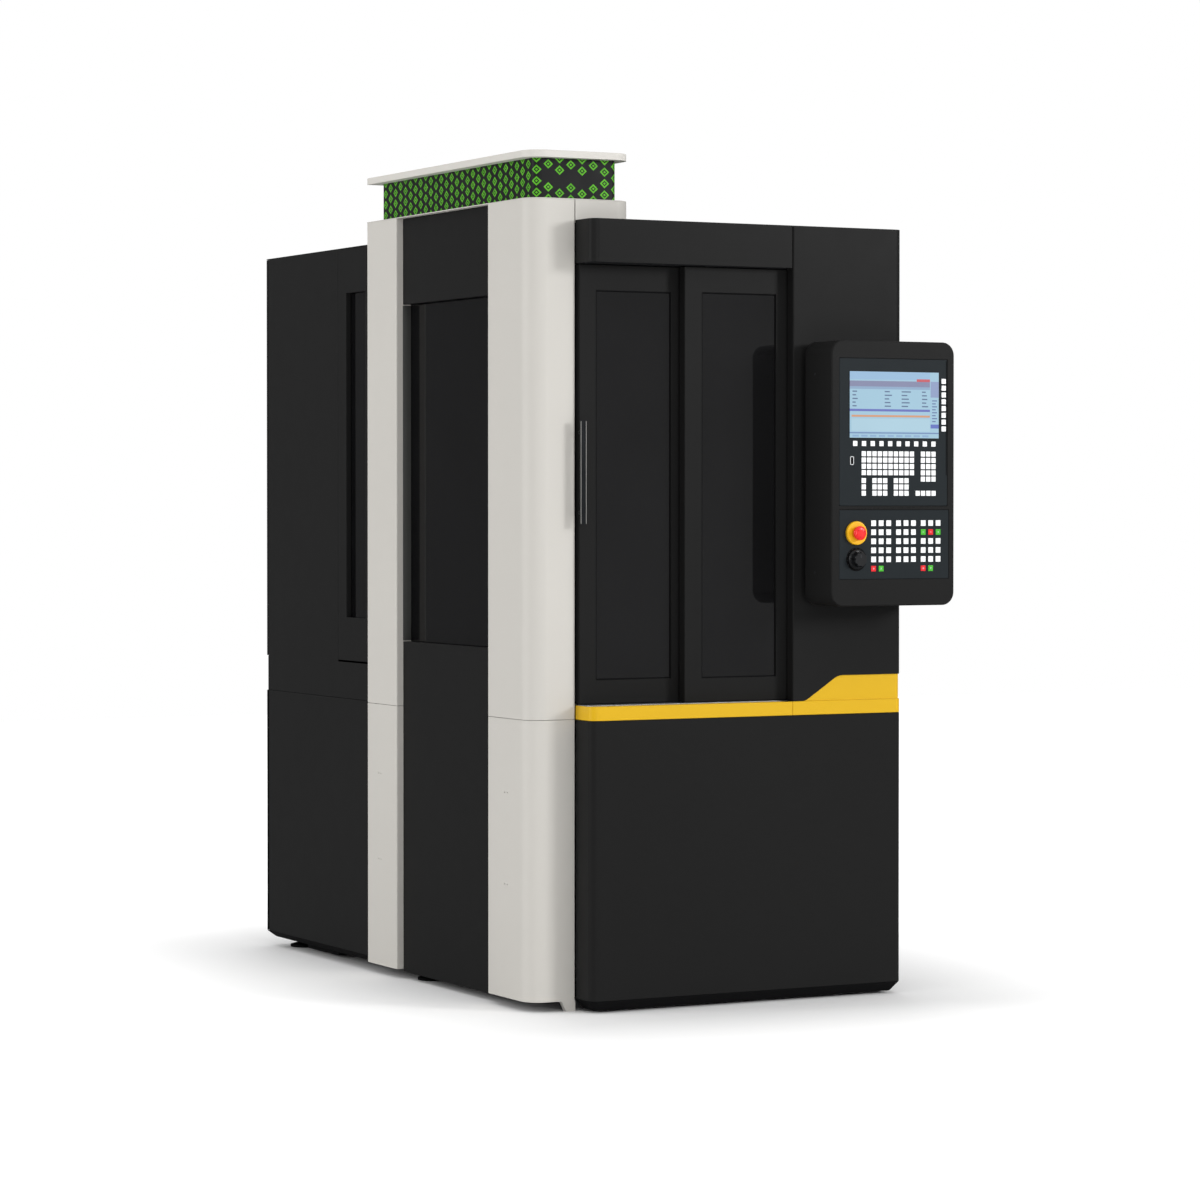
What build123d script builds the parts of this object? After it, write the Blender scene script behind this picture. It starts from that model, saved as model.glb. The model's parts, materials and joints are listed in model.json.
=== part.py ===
from build123d import *
import math
import os

os.makedirs("parts", exist_ok=True)

# A compact vertical machining center. All sizes are in millimetres.
# Everything is drawn from one datum: the sharp front left corner of the door box, at the floor.
# X runs to the right along the front, Y runs to the back and Z runs up.

# Sheet metal and fits
sheet = 2.5
fold_r = 4
seam = 0.8
seat_gap = 0.3
slide_gap = 0.3
lip = 16

# Door box across the front
front_width = 916
front_depth = 90
front_top = 1996
front_corner_r = 22.5
plinth_bottom = 6
plinth_top = 31
plinth_inset = 22
strip_bottom = 736
strip_top = 772
header_height = 109
opening_width = 583
tab_top = 837
tab_lead = 37
tab_run = 100
tab_bend_r = 45
tab_recess = 3
tab_lap = 8

# Tower at the left, with its grey covers, side window, sign and lid
tower_left = -130
tower_right = 165
tower_back = 1078
tower_rise = 54
tower_corner_r = 50
tower_bottom = 26
tower_seam = 736
front_column_depth = 238
rear_column_depth = 190
panel_recess = 20
panel_lip = 40
panel_front_lip = 30
glass_recess = 24
glass_thickness = 6
window_bottom = 910
window_head = 233
middle_bottom = 19
kick_width = 40
sign_inset = 29
sign_height = 102
sign_corner_r = 22
lid_thickness = 18
lid_rear_r = 4
lid_edge_r = 2.5
cover_hole_r = 2
cover_hole_pitch = 16
cover_hole_levels = [315, 548]
front_hole_reach = 133
rear_hole_reach = 81

# Rear cabinet
cabinet_back = 1786
cabinet_drop = 7
cabinet_bottom = 42
cabinet_seam = 741
cabinet_plinth_bottom = 25
cabinet_plinth_inset = 20
plinth_flange = 12
band_height = 100
band_recess = 9
side_door_width = 196
side_door_bottom = 847
side_door_head = 3
side_door_depth = 22
door_foot_gap = 5
side_window_front = 12
side_window_width = 128
side_window_bottom = 966
side_window_head = 123
side_window_recess = 12

# Sliding door leaves
leaf_bottom = 776
leaf_head_gap = 3
leaf_thickness = 28
leaf_flange = 4
leaf_edge_r = 2.5
leaf_track_gap = 2
front_leaf_face = 38
rear_leaf_face = 76
front_leaf_left = 286
front_leaf_width = 311
rear_leaf_left = 4
rear_leaf_width = 296
pane_bottom = 836
pane_head = 64
pane_thickness = 6
pane_lap = 10
front_pane_left = 336
front_pane_right = 555
rear_pane_left = 51
rear_pane_right = 267
blade_thickness = 5
blade_height = 10
hanger_width = 60
hanger_neck = 8
hanger_head = 20
hanger_rise = 10
hanger_top = 32
hanger_room = 34
hanger_inset = 40
handle_left = 3
handle_width = 14
handle_depth = 12
handle_bottom = 1229
handle_length = 262
handle_stand = 24
handle_foot_inset = 30
handle_foot_r = 5
handle_edge_r = 3

# Door tracks
track_front = 30
track_back = 112
track_height = 46
track_groove = 15
track_foot = 20

# Base frame and feet
frame_bottom = 32
frame_height = 40
frame_inset = 50
beam_width = 60
frame_front = 110
skid_front = 1367
skid_length = 258
skid_bottom = 7
skid_chamfer = 24
foot_r = 40
foot_height = 14
stem_r = 10
front_foot_y = 140
middle_foot_y = 830
rear_foot_y = 1700
front_foot_inset = 150

# Machine inside: bed, column, saddle, table and head
spindle_x = 335
spindle_y = 560
bed_width = 360
bed_front = 330
bed_back = 1110
bed_top = 730
bed_wall = 30
bed_port_end = 60
bed_port_gap = 60
bed_port_low = 90
bed_port_high = 130
bed_port_r = 60
way_height = 25
way_width = 40
bed_way_spread = 220
column_width = 260
column_front = 800
column_foot_depth = 300
column_head_depth = 200
column_head_room = 149
column_wall = 25
column_foot_height = 120
column_shoulder = 420
column_rib = 780
column_way_spread = 124
column_way_width = 30
column_way_bottom = 1000
saddle_length = 480
saddle_width = 200
saddle_height = 80
saddle_chamfer = 24
saddle_way_spread = 120
saddle_way_width = 32
saddle_way_height = 22
gib_depth = 14
gib_width = 16
table_length = 440
table_width = 200
table_height = 68
slot_count = 3
slot_pitch = 63
slot_width = 12
slot_foot = 21
slot_neck = 11
slot_depth = 20
head_width = 170
head_corner_r = 40
head_front = 500
head_height = 280
head_drop = 200
nose_r = 62
nose_length = 60
spindle_r = 40
spindle_nose_r = 34
spindle_proud = 10
spindle_sunk = 40
taper_r = 15.9
taper_depth = 48
taper_end_r = 9
motor_size = 150
motor_height = 210
z_motor_size = 90
z_motor_height = 120

# Tool magazine beside the head
disc_reach = 125
disc_r = 134
disc_z = 1140
disc_thickness = 7.4
pocket_count = 12
hub_r = 20
hub_foot_r = 88
hub_base = 1160
hub_top = 1290
magazine_x = 80
pin_r = 12
carriage_r = 30
carriage_bottom = 1300
carriage_top = 1415
rod_r = 7
rod_y = 752
rod_z = 1395
rod_pitch = 44
beam_depth = 28
beam_head_gap = 12
lug_width = 16
lug_front = 18
slide_stop = 4
carriage_length = 58
carriage_front = 16
carriage_rear = 12
carriage_rise = 18
arm_width = 36
beam_left = -66
beam_bottom = 1360
beam_top = 1474
stock_gap = 0.3
flange_r = 23
groove_r = 19
flange_height = 20
cutter_lengths = [48, 70, 58]

# Chamber, tank and electrical bay
floor_level = 690
chamber_sheet = 3
wall_flange = 20
chamber_right = 800
tank_left = 120
tank_right = 780
tank_front = 130
tank_back = 312
tank_height = 330
tank_wall = 4
tank_corner_r = 12
bay_wall_y = 1480
bay_bottom = 880
bay_head = 39
module_count = 6
module_pitch = 118
module_width = 96
module_depth = 150
module_height = 320
module_bottom = 1380
fin_count = 8

# Control unit at the right
unit_left = 603
unit_right = 972
unit_front = -160
unit_back = -29
unit_bottom = 1020
unit_top = 1697
unit_corner_r = 25
unit_wall = 5
unit_edge_r = 4
fascia_thickness = 3
upper_left = 626
upper_right = 951
upper_bottom = 1276
upper_top = 1652
lower_right = 955.5
lower_bottom = 1089
lower_top = 1265.5
screen_left = 655
screen_right = 925
screen_bottom = 1448.5
screen_top = 1619.5
screen_proud = 1.2
key_size = 13
key_proud = 1.4
key_pitch = 16.1
side_key_x = 939.5
side_key_z = 1596.5
side_key_pitch = 17.5
under_key_x = 672.5
under_key_z = 1434.8
under_key_pitch = 26.2
letter_key_x = 698.1
letter_key_z = 1408.9
number_key_x = 876.4
cursor_key_z = 1340.3
cursor_key_x = 730.2
edit_key_x = 794.6
arrow_key_x = 860.7
panel_key_size = 14.5
panel_key_pitch = 22.6
panel_row_pitch = 23.1
panel_key_z = 1231.6
panel_group_x = 727.8
panel_group_pitch = 74.9
panel_last_row_z = 1115.5
stop_x = 674.5
stop_z = 1206.5
stop_ring_r = 30
stop_ring_height = 9
stop_travel = 6
stop_head_r = 20
stop_neck_r = 11
stop_head_height = 22
knob_x = 676.5
knob_z = 1139.5
knob_r = 25
knob_height = 24
bracket_left = 660
bracket_right = 880
bracket_bottom = 1180
bracket_top = 1540

# Sizes that follow from those above
header_bottom = front_top - header_height
tab_foot_x = opening_width + tab_lead
tab_head_x = tab_foot_x + tab_run
tower_top = front_top + tower_rise
cabinet_top = front_top - cabinet_drop
window_top = tower_top - window_head
side_door_top = cabinet_top - side_door_head
side_window_top = side_door_top - side_window_head
leaf_top = header_bottom - leaf_head_gap
pane_top = leaf_top - pane_head
bay_top = cabinet_top - bay_head
column_top = cabinet_top - column_head_room
head_top = column_top - head_drop
head_bottom = head_top - head_height
nose_bottom = head_bottom - nose_length
spindle_bottom = nose_bottom - spindle_proud
spindle_top = head_top - spindle_sunk
tower_front = front_depth
front_column_back = tower_front + front_column_depth
tab_start = opening_width + seam + 2 * fold_r
rear_column_front = tower_back - rear_column_depth
middle_x = tower_left + panel_recess
glass_x = middle_x + glass_recess
side_door_front = tower_back + seam
side_door_back = side_door_front + side_door_width
sign_top = tower_top + sign_height
table_top = bed_top + way_height + slide_gap + saddle_height + saddle_way_height + slide_gap + table_height
saddle_bottom = bed_top + way_height + slide_gap
saddle_top = saddle_bottom + saddle_height
magazine_travel = spindle_x - disc_reach - magazine_x
beam_right = spindle_x - head_width / 2 - beam_head_gap
table_bottom = saddle_top + saddle_way_height + slide_gap
way_face_y = column_front - way_height
unit_face = unit_front + unit_wall
fascia_front = unit_face - fascia_thickness - 1
front_most = fascia_front - stop_ring_height - stop_travel - stop_head_height
centre = Vector((tower_left + unit_right) / 2, (front_most + cabinet_back) / 2, 0)


def block(x0, x1, y0, y1, z0, z1):
    # A box between two opposite corners, given in either order.
    return Pos((x0 + x1) / 2, (y0 + y1) / 2, (z0 + z1) / 2) * Box(abs(x1 - x0), abs(y1 - y0), abs(z1 - z0))


def folded(points, radii, z0, z1, wall=sheet):
    # A sheet bent along a plan path. The metal lies to the left of the path.
    path = FilletPolyline(*points, radius=radii)
    outline = path.offset_2d(wall, kind=Kind.INTERSECTION, side=Side.LEFT, closed=True)
    return Pos(0, 0, z0) * extrude(make_face(outline), z1 - z0)


def plan_plate(x0, x1, y0, y1, z0, z1, front_r, back_r=0.0):
    # A flat plate with rounded vertical corners at the front and, if asked, at the back.
    plate = block(x0, x1, y0, y1, z0, z1)
    upright = plate.edges().filter_by(Axis.Z)
    plate = fillet(upright.group_by(Axis.Y)[0], front_r)
    if back_r > 0:
        plate = fillet(plate.edges().filter_by(Axis.Z).group_by(Axis.Y)[-1], back_r)
    return plate


def along_y(outline, y0, y1):
    # A face drawn in X and Z, pulled along Y.
    return extrude(Plane((0, y0, 0), x_dir=(1, 0, 0), z_dir=(0, -1, 0)) * outline, -(y1 - y0))


def along_x(points, x0, x1):
    # A closed outline given as pairs of Y and Z, pulled along X.
    face = make_face(Polyline(*points, close=True))
    return extrude(Plane((x0, 0, 0), x_dir=(0, 1, 0), z_dir=(1, 0, 0)) * face, x1 - x0)


def turned(points, x, y):
    # A closed outline given as pairs of radius and height, turned about a vertical axis.
    face = make_face(Polyline(*points, close=True))
    return Pos(x, y, 0) * revolve(Plane.XZ * face, Axis.Z)


def turned_forward(points, x, y, z):
    # A closed outline given as pairs of radius and reach, turned about an axis that points to the front.
    face = make_face(Polyline(*points, close=True))
    body = revolve(Plane.XZ * face, Axis.Z)
    return Pos(x, y, z) * (Rot(90, 0, 0) * body)


# Door box: lower panel and plinth


def front_lower_panel():
    path = [(lip, front_depth), (0, front_depth), (0, 0), (front_width, 0), (front_width, front_depth),
            (front_width - lip, front_depth)]
    radii = [fold_r, front_corner_r, front_corner_r, fold_r]
    return folded(path, radii, plinth_top + seam, strip_bottom)


def front_plinth():
    top = plan_plate(0, front_width, 0, front_depth, plinth_top - 1, plinth_top, front_corner_r)
    base = plan_plate(plinth_inset, front_width - plinth_inset, plinth_inset, front_depth,
                      plinth_bottom, plinth_bottom + 1, front_corner_r / 3)
    upper = top.faces().sort_by(Axis.Z)[-1]
    lower = base.faces().sort_by(Axis.Z)[0]
    return loft([lower, upper])


# Yellow strip, with its raised tab at the right


def strip_left():
    body = folded([(0, front_depth), (0, 0), (opening_width, 0)], [front_corner_r],
                  strip_bottom + seam, strip_top, tab_recess)
    sill = plan_plate(0, opening_width, 0, track_front, strip_top - sheet, strip_top, front_corner_r)
    sill -= block(opening_width - front_corner_r, opening_width + 1, -1, track_front + 1, strip_top - 9, strip_top + 1)
    return body + sill


def tab_outline(raise_by, foot):
    # The S-shaped upper edge of the tab, closed down to the strip.
    edge = FilletPolyline((tab_start, strip_top + raise_by), (tab_foot_x, strip_top + raise_by),
                          (tab_head_x, tab_top + raise_by), (front_width + 20, tab_top + raise_by),
                          radius=tab_bend_r)
    ends = Polyline(edge @ 1, (front_width + 20, foot), (tab_start, foot), edge @ 0)
    return make_face([edge.edges(), ends.edges()])


def strip_right():
    left = opening_width + seam
    body = folded([(left, 0), (front_width, 0), (front_width, front_depth)], [front_corner_r],
                  strip_bottom + seam, strip_top, tab_recess)
    inner_r = front_corner_r - tab_recess
    tab = folded([(tab_start, tab_recess), (front_width - tab_recess, tab_recess),
                  (front_width - tab_recess, front_depth)], [inner_r], strip_bottom + seam, tab_top + 20)
    tab &= along_y(tab_outline(tab_lap, strip_bottom), -10, front_depth + 10)
    return body + tab


# Header and fixed right panel, both closed at the top


def front_header():
    right = opening_width
    path = [(0, front_depth), (0, 0), (right, 0), (right, track_front - seam)]
    skin = folded(path, [front_corner_r, fold_r], header_bottom, front_top - sheet)
    top = plan_plate(0, right, 0, front_depth, front_top - sheet, front_top, front_corner_r)
    top -= block(right - front_corner_r, right + 1, -1, front_corner_r, front_top - 9, front_top + 1)
    top += block(right - front_corner_r, right, 0, front_corner_r, front_top - sheet, front_top)
    return skin + top


def front_fixed_panel():
    left = opening_width + seam
    path = [(left, track_front - seam), (left, 0), (front_width, 0), (front_width, front_depth)]
    skin = folded(path, [fold_r, front_corner_r], strip_top + seam, front_top - sheet)
    skin -= along_y(tab_outline(0, strip_bottom), -10, front_depth + 10)
    top = plan_plate(left, front_width, 0, front_depth, front_top - sheet, front_top, front_corner_r)
    top -= block(left - 1, left + front_corner_r, -1, front_corner_r, front_top - 9, front_top + 1)
    top += block(left, left + front_corner_r, 0, front_corner_r, front_top - sheet, front_top)
    return skin + top


# Tracks that the two leaves run in


def leaf_centres():
    return [front_leaf_face + leaf_thickness / 2, rear_leaf_face + leaf_thickness / 2]


def door_track_lower():
    left = tab_recess + seat_gap
    right = front_width - tab_recess - sheet - seat_gap
    top = leaf_bottom - leaf_track_gap
    bottom = strip_top - track_height
    track = block(left, right, track_front, track_back, bottom, top)
    track -= block(left - 1, right + 1, track_front - 1, front_depth + seam, bottom - 1, bottom + track_foot)
    for y in leaf_centres():
        half = blade_thickness / 2 + slide_gap
        track -= block(left - 1, right + 1, y - half, y + half, top - track_groove, leaf_bottom)
    return track


def door_track_upper():
    left = sheet + seat_gap
    right = front_width - sheet - seat_gap
    bottom = leaf_top + leaf_track_gap
    track = block(left, right, track_front, track_back, bottom, bottom + track_height)
    for y in leaf_centres():
        neck = hanger_neck / 2 + slide_gap
        head = hanger_head / 2 + slide_gap
        track -= block(left - 1, right + 1, y - neck, y + neck, bottom - 1, bottom + hanger_rise + 2)
        track -= block(left - 1, right + 1, y - head, y + head, bottom + hanger_rise, bottom + hanger_room)
    return track


def leaf_frame(left, width, face, pane_left, pane_right):
    back = face + leaf_thickness
    frame = block(left, left + width, face, back, leaf_bottom, leaf_top)
    front_edges = frame.edges().filter_by(Axis.Z).group_by(Axis.Y)[0]
    frame = fillet(front_edges, leaf_edge_r)
    frame -= block(pane_left, pane_right, face - 1, back + 1, pane_bottom, pane_top)
    frame -= block(pane_left - pane_lap, pane_right + pane_lap, face + leaf_flange, back + 1,
                   pane_bottom - pane_lap, pane_top + pane_lap)
    middle = (face + back) / 2
    half = blade_thickness / 2
    frame += block(left, left + width, middle - half, middle + half, leaf_bottom - blade_height, leaf_bottom)
    for x in (left + hanger_inset, left + width - hanger_inset):
        x0 = x - hanger_width / 2
        x1 = x + hanger_width / 2
        neck = hanger_neck / 2
        head = hanger_head / 2
        bottom = leaf_top + leaf_track_gap
        frame += block(x0, x1, middle - neck, middle + neck, leaf_top, bottom + hanger_rise + 2)
        frame += block(x0, x1, middle - head, middle + head, bottom + hanger_rise + slide_gap, bottom + hanger_top)
    return frame


def leaf_pane(face, pane_left, pane_right):
    front = face + leaf_flange
    lap = pane_lap - seat_gap
    return block(pane_left - lap, pane_right + lap, front, front + pane_thickness, pane_bottom - lap, pane_top + lap)


def door_handle():
    front = rear_leaf_face - handle_stand - handle_depth
    x_mid = handle_left + handle_width / 2
    bar = block(handle_left, handle_left + handle_width, front, front + handle_depth,
                handle_bottom, handle_bottom + handle_length)
    bar = fillet(bar.edges().filter_by(Axis.Z), handle_edge_r)
    for z in (handle_bottom + handle_foot_inset, handle_bottom + handle_length - handle_foot_inset):
        foot = Cylinder(handle_foot_r, handle_stand + 2, rotation=(90, 0, 0))
        bar += Pos(x_mid, rear_leaf_face - handle_stand / 2 - 1, z) * foot
    return bar


# Tower covers


def cover_holes(y):
    # Two pairs of small fixing holes in the side of a lower cover.
    holes = Part()
    for z in cover_hole_levels:
        for side in (-1, 1):
            drill = Cylinder(cover_hole_r, 4 * sheet, rotation=(0, 90, 0))
            holes += Pos(tower_left, y + side * cover_hole_pitch / 2, z) * drill
    return holes


def front_column(z0, z1):
    path = [(glass_x, front_column_back), (tower_left, front_column_back), (tower_left, tower_front),
            (-seam, tower_front), (-seam, tower_front + lip)]
    return folded(path, [fold_r, tower_corner_r, fold_r], z0, z1)


def front_column_lower():
    cover = front_column(tower_bottom, tower_seam)
    kick = Polyline((-kick_width, tower_bottom + 1), (-kick_width + 14, 0), (-seam, 0), (-seam, tower_bottom + 1),
                    close=True)
    foot = along_y(make_face(kick), tower_front, tower_front + lip)
    return cover + foot - cover_holes(tower_front + front_hole_reach)


def rear_column_lower():
    return rear_column(tower_bottom, tower_seam) - cover_holes(tower_back - rear_hole_reach)


def rear_column(z0, z1):
    path = [(middle_x, tower_back), (tower_left, tower_back), (tower_left, rear_column_front),
            (glass_x, rear_column_front)]
    return folded(path, [fold_r, fold_r], z0, z1)


def side_panel(z0, z1, flange_z, turn):
    # A black panel between the columns, with a flange turned in under or over the window.
    front = front_column_back + seam
    back = rear_column_front - seam
    skin = block(middle_x, middle_x + sheet, front, back, z0, z1)
    flange = block(middle_x, glass_x + glass_thickness, front, back, flange_z, flange_z + turn * sheet)
    return skin + flange


def side_window_glass():
    return block(glass_x + seat_gap, glass_x + glass_thickness, front_column_back - sheet,
                 rear_column_front + sheet, window_bottom + seat_gap, window_top - seat_gap)


def tower_back_cover():
    # The grey cover that shows above the roof, folded round the right and the back of the tower.
    path = [(0, tower_front), (tower_right, tower_front), (tower_right, tower_back - seam),
            (middle_x, tower_back - seam)]
    return folded(path, [tower_corner_r, tower_corner_r], cabinet_top + seam, tower_top - sheet)


def tower_top_plate():
    return plan_plate(tower_left, tower_right, tower_front, tower_back, tower_top - sheet, tower_top, tower_corner_r)


def sign_box():
    x0 = tower_left + sign_inset
    x1 = tower_right - sign_inset
    y0 = tower_front + sign_inset
    y1 = tower_back - sign_inset
    box = plan_plate(x0, x1, y0, y1, tower_top, sign_top, sign_corner_r, sign_corner_r)
    inner = plan_plate(x0 + sheet, x1 - sheet, y0 + sheet, y1 - sheet, tower_top - 1, sign_top - sheet,
                       sign_corner_r - sheet, sign_corner_r - sheet)
    return box - inner


def sign_lid():
    lid = plan_plate(tower_left, tower_right, tower_front, tower_back, sign_top, sign_top + lid_thickness,
                     tower_corner_r, lid_rear_r)
    return fillet(lid.faces().sort_by(Axis.Z)[-1].edges(), lid_edge_r)


# Rear cabinet


def magazine_door():
    # A folded pan with a tall window, hung on its rear edge.
    x0 = tower_left
    x1 = tower_left + side_door_depth
    door = block(x0, x1, side_door_front, side_door_back, side_door_bottom, side_door_top)
    door -= block(x0 + sheet, x1 + 1, side_door_front + sheet, side_door_back - sheet,
                  side_door_bottom + sheet, side_door_top - sheet)
    y0 = side_door_front + side_window_front
    y1 = y0 + side_window_width
    rim = block(x0, x0 + side_window_recess + sheet, y0 - sheet, y1 + sheet,
                side_window_bottom - sheet, side_window_top + sheet)
    hole = block(x0 - 1, x1 + 1, y0, y1, side_window_bottom, side_window_top)
    return door + rim - hole


def magazine_door_glass():
    x0 = tower_left + side_window_recess + sheet
    y0 = side_door_front + side_window_front - sheet
    y1 = y0 + side_window_width + 2 * sheet
    return block(x0, x0 + 4, y0, y1, side_window_bottom - sheet, side_window_top + sheet)


def rear_left_skin(z0, z1):
    rear = cabinet_back - band_recess - sheet
    path = [(tower_left + panel_lip, rear), (tower_left, rear), (tower_left, side_door_front),
            (tower_left + panel_front_lip, side_door_front)]
    return folded(path, [fold_r, fold_r], z0, z1)


def rear_left_upper_panel():
    # The skin beside the narrow door, cut away where the door hangs.
    door_place = block(tower_left - 1, tower_left + panel_front_lip + 1, side_door_front - 1,
                       side_door_back + seam, side_door_bottom - door_foot_gap, cabinet_top)
    return rear_left_skin(cabinet_seam + seam, cabinet_top - sheet) - door_place


def rear_left_lower_panel():
    return rear_left_skin(cabinet_bottom + seam, cabinet_seam)


def right_panel(z0, z1):
    rear = cabinet_back - band_recess - sheet
    path = [(front_width, front_depth + seam), (front_width, rear), (front_width - panel_lip, rear)]
    return folded(path, [fold_r], z0, z1)


def rear_plinth():
    side = cabinet_plinth_inset
    high = block(tower_left, front_width, side_door_front, cabinet_back, cabinet_bottom - 1, cabinet_bottom)
    low = block(tower_left + side, front_width - side, side_door_front, cabinet_back - side,
                cabinet_plinth_bottom, cabinet_plinth_bottom + 1)
    skirt = loft([low.faces().sort_by(Axis.Z)[0], high.faces().sort_by(Axis.Z)[-1]])
    wall = side + plinth_flange
    middle = block(tower_left + wall, front_width - wall, side_door_front - 1, cabinet_back - wall,
                   cabinet_plinth_bottom - 1, cabinet_bottom + 1)
    return skirt - middle


def rear_lower_cover():
    # The lower rear cover, stepped in at its top to form the recessed band.
    back = cabinet_back
    step = back - band_recess
    profile = [(back, cabinet_bottom + seam), (back, cabinet_seam), (step, cabinet_seam),
               (step, cabinet_seam + band_height), (step - sheet, cabinet_seam + band_height),
               (step - sheet, cabinet_seam - sheet), (back - sheet, cabinet_seam - sheet),
               (back - sheet, cabinet_bottom + seam)]
    return along_x(profile, tower_left, front_width)


def rear_upper_door():
    z0 = cabinet_seam + band_height + seam
    z1 = cabinet_top - sheet - seam
    front = cabinet_back - band_recess - sheet + seam
    door = block(tower_left, front_width, front, cabinet_back, z0, z1)
    door -= block(tower_left + sheet, front_width - sheet, front - 1, cabinet_back - sheet, z0 + sheet, z1 - sheet)
    return door


def cabinet_roof():
    roof = block(tower_left, front_width, tower_back + seam, cabinet_back, cabinet_top - sheet, cabinet_top)
    left = glass_x + glass_thickness + seam
    ahead = block(left, front_width, tower_front + lip + seam, tower_back + seam + 1, cabinet_top - sheet, cabinet_top)
    ahead += block(seam, front_width, tower_front + seam, tower_back, cabinet_top - sheet, cabinet_top)
    return roof + ahead


# Base frame, feet, tank and chamber sheets


def base_frame():
    left = tower_left + frame_inset
    right = front_width - frame_inset
    back = cabinet_back - frame_inset
    top = frame_bottom + frame_height
    frame = block(left, left + beam_width, frame_front, back, frame_bottom, top)
    frame += block(right - beam_width, right, frame_front, back, frame_bottom, top)
    middle = middle_foot_y
    for y in (frame_front, bed_front, middle - beam_width / 2, bed_back - beam_width, skid_front, back - beam_width):
        frame += block(left, right, y, y + beam_width, frame_bottom, top)
    front = skid_front
    rear = skid_front + skid_length
    low = skid_bottom
    skid = [(front + skid_chamfer, low), (rear - skid_chamfer, low), (rear, low + skid_chamfer), (rear, frame_bottom + 1),
            (front, frame_bottom + 1), (front, low + skid_chamfer)]
    for x in (left, right - beam_width):
        frame += along_x(skid, x, x + beam_width)
    return frame


def foot_places():
    left = tower_left + frame_inset + beam_width / 2
    right = front_width - frame_inset - beam_width / 2
    near = front_foot_inset + left
    return [(near, front_foot_y), (right, front_foot_y), (left, middle_foot_y), (right, middle_foot_y),
            (left, rear_foot_y), (right, rear_foot_y)]


def levelling_feet():
    # Each foot is a dished pad turned in one piece with its stem, screwed up against the frame.
    feet = []
    for x, y in foot_places():
        profile = [(0, 0), (foot_r, 0), (foot_r, foot_height / 2), (stem_r + 6, foot_height),
                   (stem_r, foot_height), (stem_r, frame_bottom), (0, frame_bottom)]
        feet.append(turned(profile, x, y))
    return feet


def coolant_tank():
    z0 = frame_bottom + frame_height
    tank = block(tank_left, tank_right, tank_front, tank_back, z0, z0 + tank_height)
    tank = fillet(tank.edges().filter_by(Axis.Z), tank_corner_r)
    wall = tank_wall
    inner = block(tank_left + wall, tank_right - wall, tank_front + wall, tank_back - wall, z0 + wall, z0 + tank_height + 1)
    return tank - fillet(inner.edges().filter_by(Axis.Z), tank_corner_r - wall)


def chamber_floor():
    left = glass_x + glass_thickness + seam
    right = chamber_right + chamber_sheet
    plate = block(left, right, track_back + seam, column_front - seam, floor_level, floor_level + chamber_sheet)
    x0 = spindle_x - bed_width / 2 - seat_gap
    x1 = spindle_x + bed_width / 2 + seat_gap
    hole = block(x0, x1, bed_front - seat_gap, column_front, floor_level - 1, floor_level + chamber_sheet + 1)
    rim = block(left, left + chamber_sheet, track_back + seam, column_front - seam, floor_level, window_bottom - sheet)
    return plate - hole + rim


def chamber_walls():
    # The right wall and the two back sheets, flanged where they meet the column.
    side = block(chamber_right, chamber_right + chamber_sheet, track_back + seam, column_front - seam,
                 floor_level + chamber_sheet, cabinet_top - sheet)
    z0 = floor_level + chamber_sheet
    z1 = cabinet_top - sheet
    y0 = column_front - seam - chamber_sheet
    y1 = column_front - seam
    half = column_width / 2 + seat_gap
    left = block(glass_x + glass_thickness + seam + chamber_sheet, spindle_x - half, y0, y1 + wall_flange, z0, z1)
    left -= block(glass_x, spindle_x - half - chamber_sheet, y1, y1 + wall_flange + 1, z0 - 1, z1 + 1)
    right = block(spindle_x + half, chamber_right, y0, y1 + wall_flange, z0, z1)
    right -= block(spindle_x + half + chamber_sheet, chamber_right + 1, y1, y1 + wall_flange + 1, z0 - 1, z1 + 1)
    reach = bed_width / 2 + seat_gap
    notch = block(spindle_x - reach, spindle_x + reach, y0 - 1, y1 + wall_flange + 1, z0 - 1, bed_top + seat_gap)
    left -= notch
    right -= notch
    return [left, side + right]


def electrical_plate():
    # A mounting plate across the rear bay, flanged to both side panels.
    x0 = tower_left + sheet + seat_gap
    x1 = front_width - sheet - seat_gap
    y = bay_wall_y
    far = y + panel_front_lip
    return folded([(x0, far), (x0, y), (x1, y), (x1, far)], [fold_r, fold_r], bay_bottom, bay_top)


def drive_modules():
    # A row of finned drive units hung on the plate.
    modules = []
    y0 = bay_wall_y + sheet
    span = (module_count - 1) * module_pitch
    start = (tower_left + front_width - span) / 2
    for i in range(module_count):
        x = start + i * module_pitch
        body = block(x - module_width / 2, x + module_width / 2, y0, y0 + module_depth,
                     module_bottom, module_bottom + module_height)
        step = module_width / fin_count
        for k in range(1, fin_count, 2):
            fin_x = x - module_width / 2 + k * step
            body -= block(fin_x, fin_x + step / 2, y0 + module_depth - 20, y0 + module_depth + 1,
                          module_bottom + 30, module_bottom + module_height - 30)
        modules.append(body)
    return modules


# Machine inside


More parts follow.
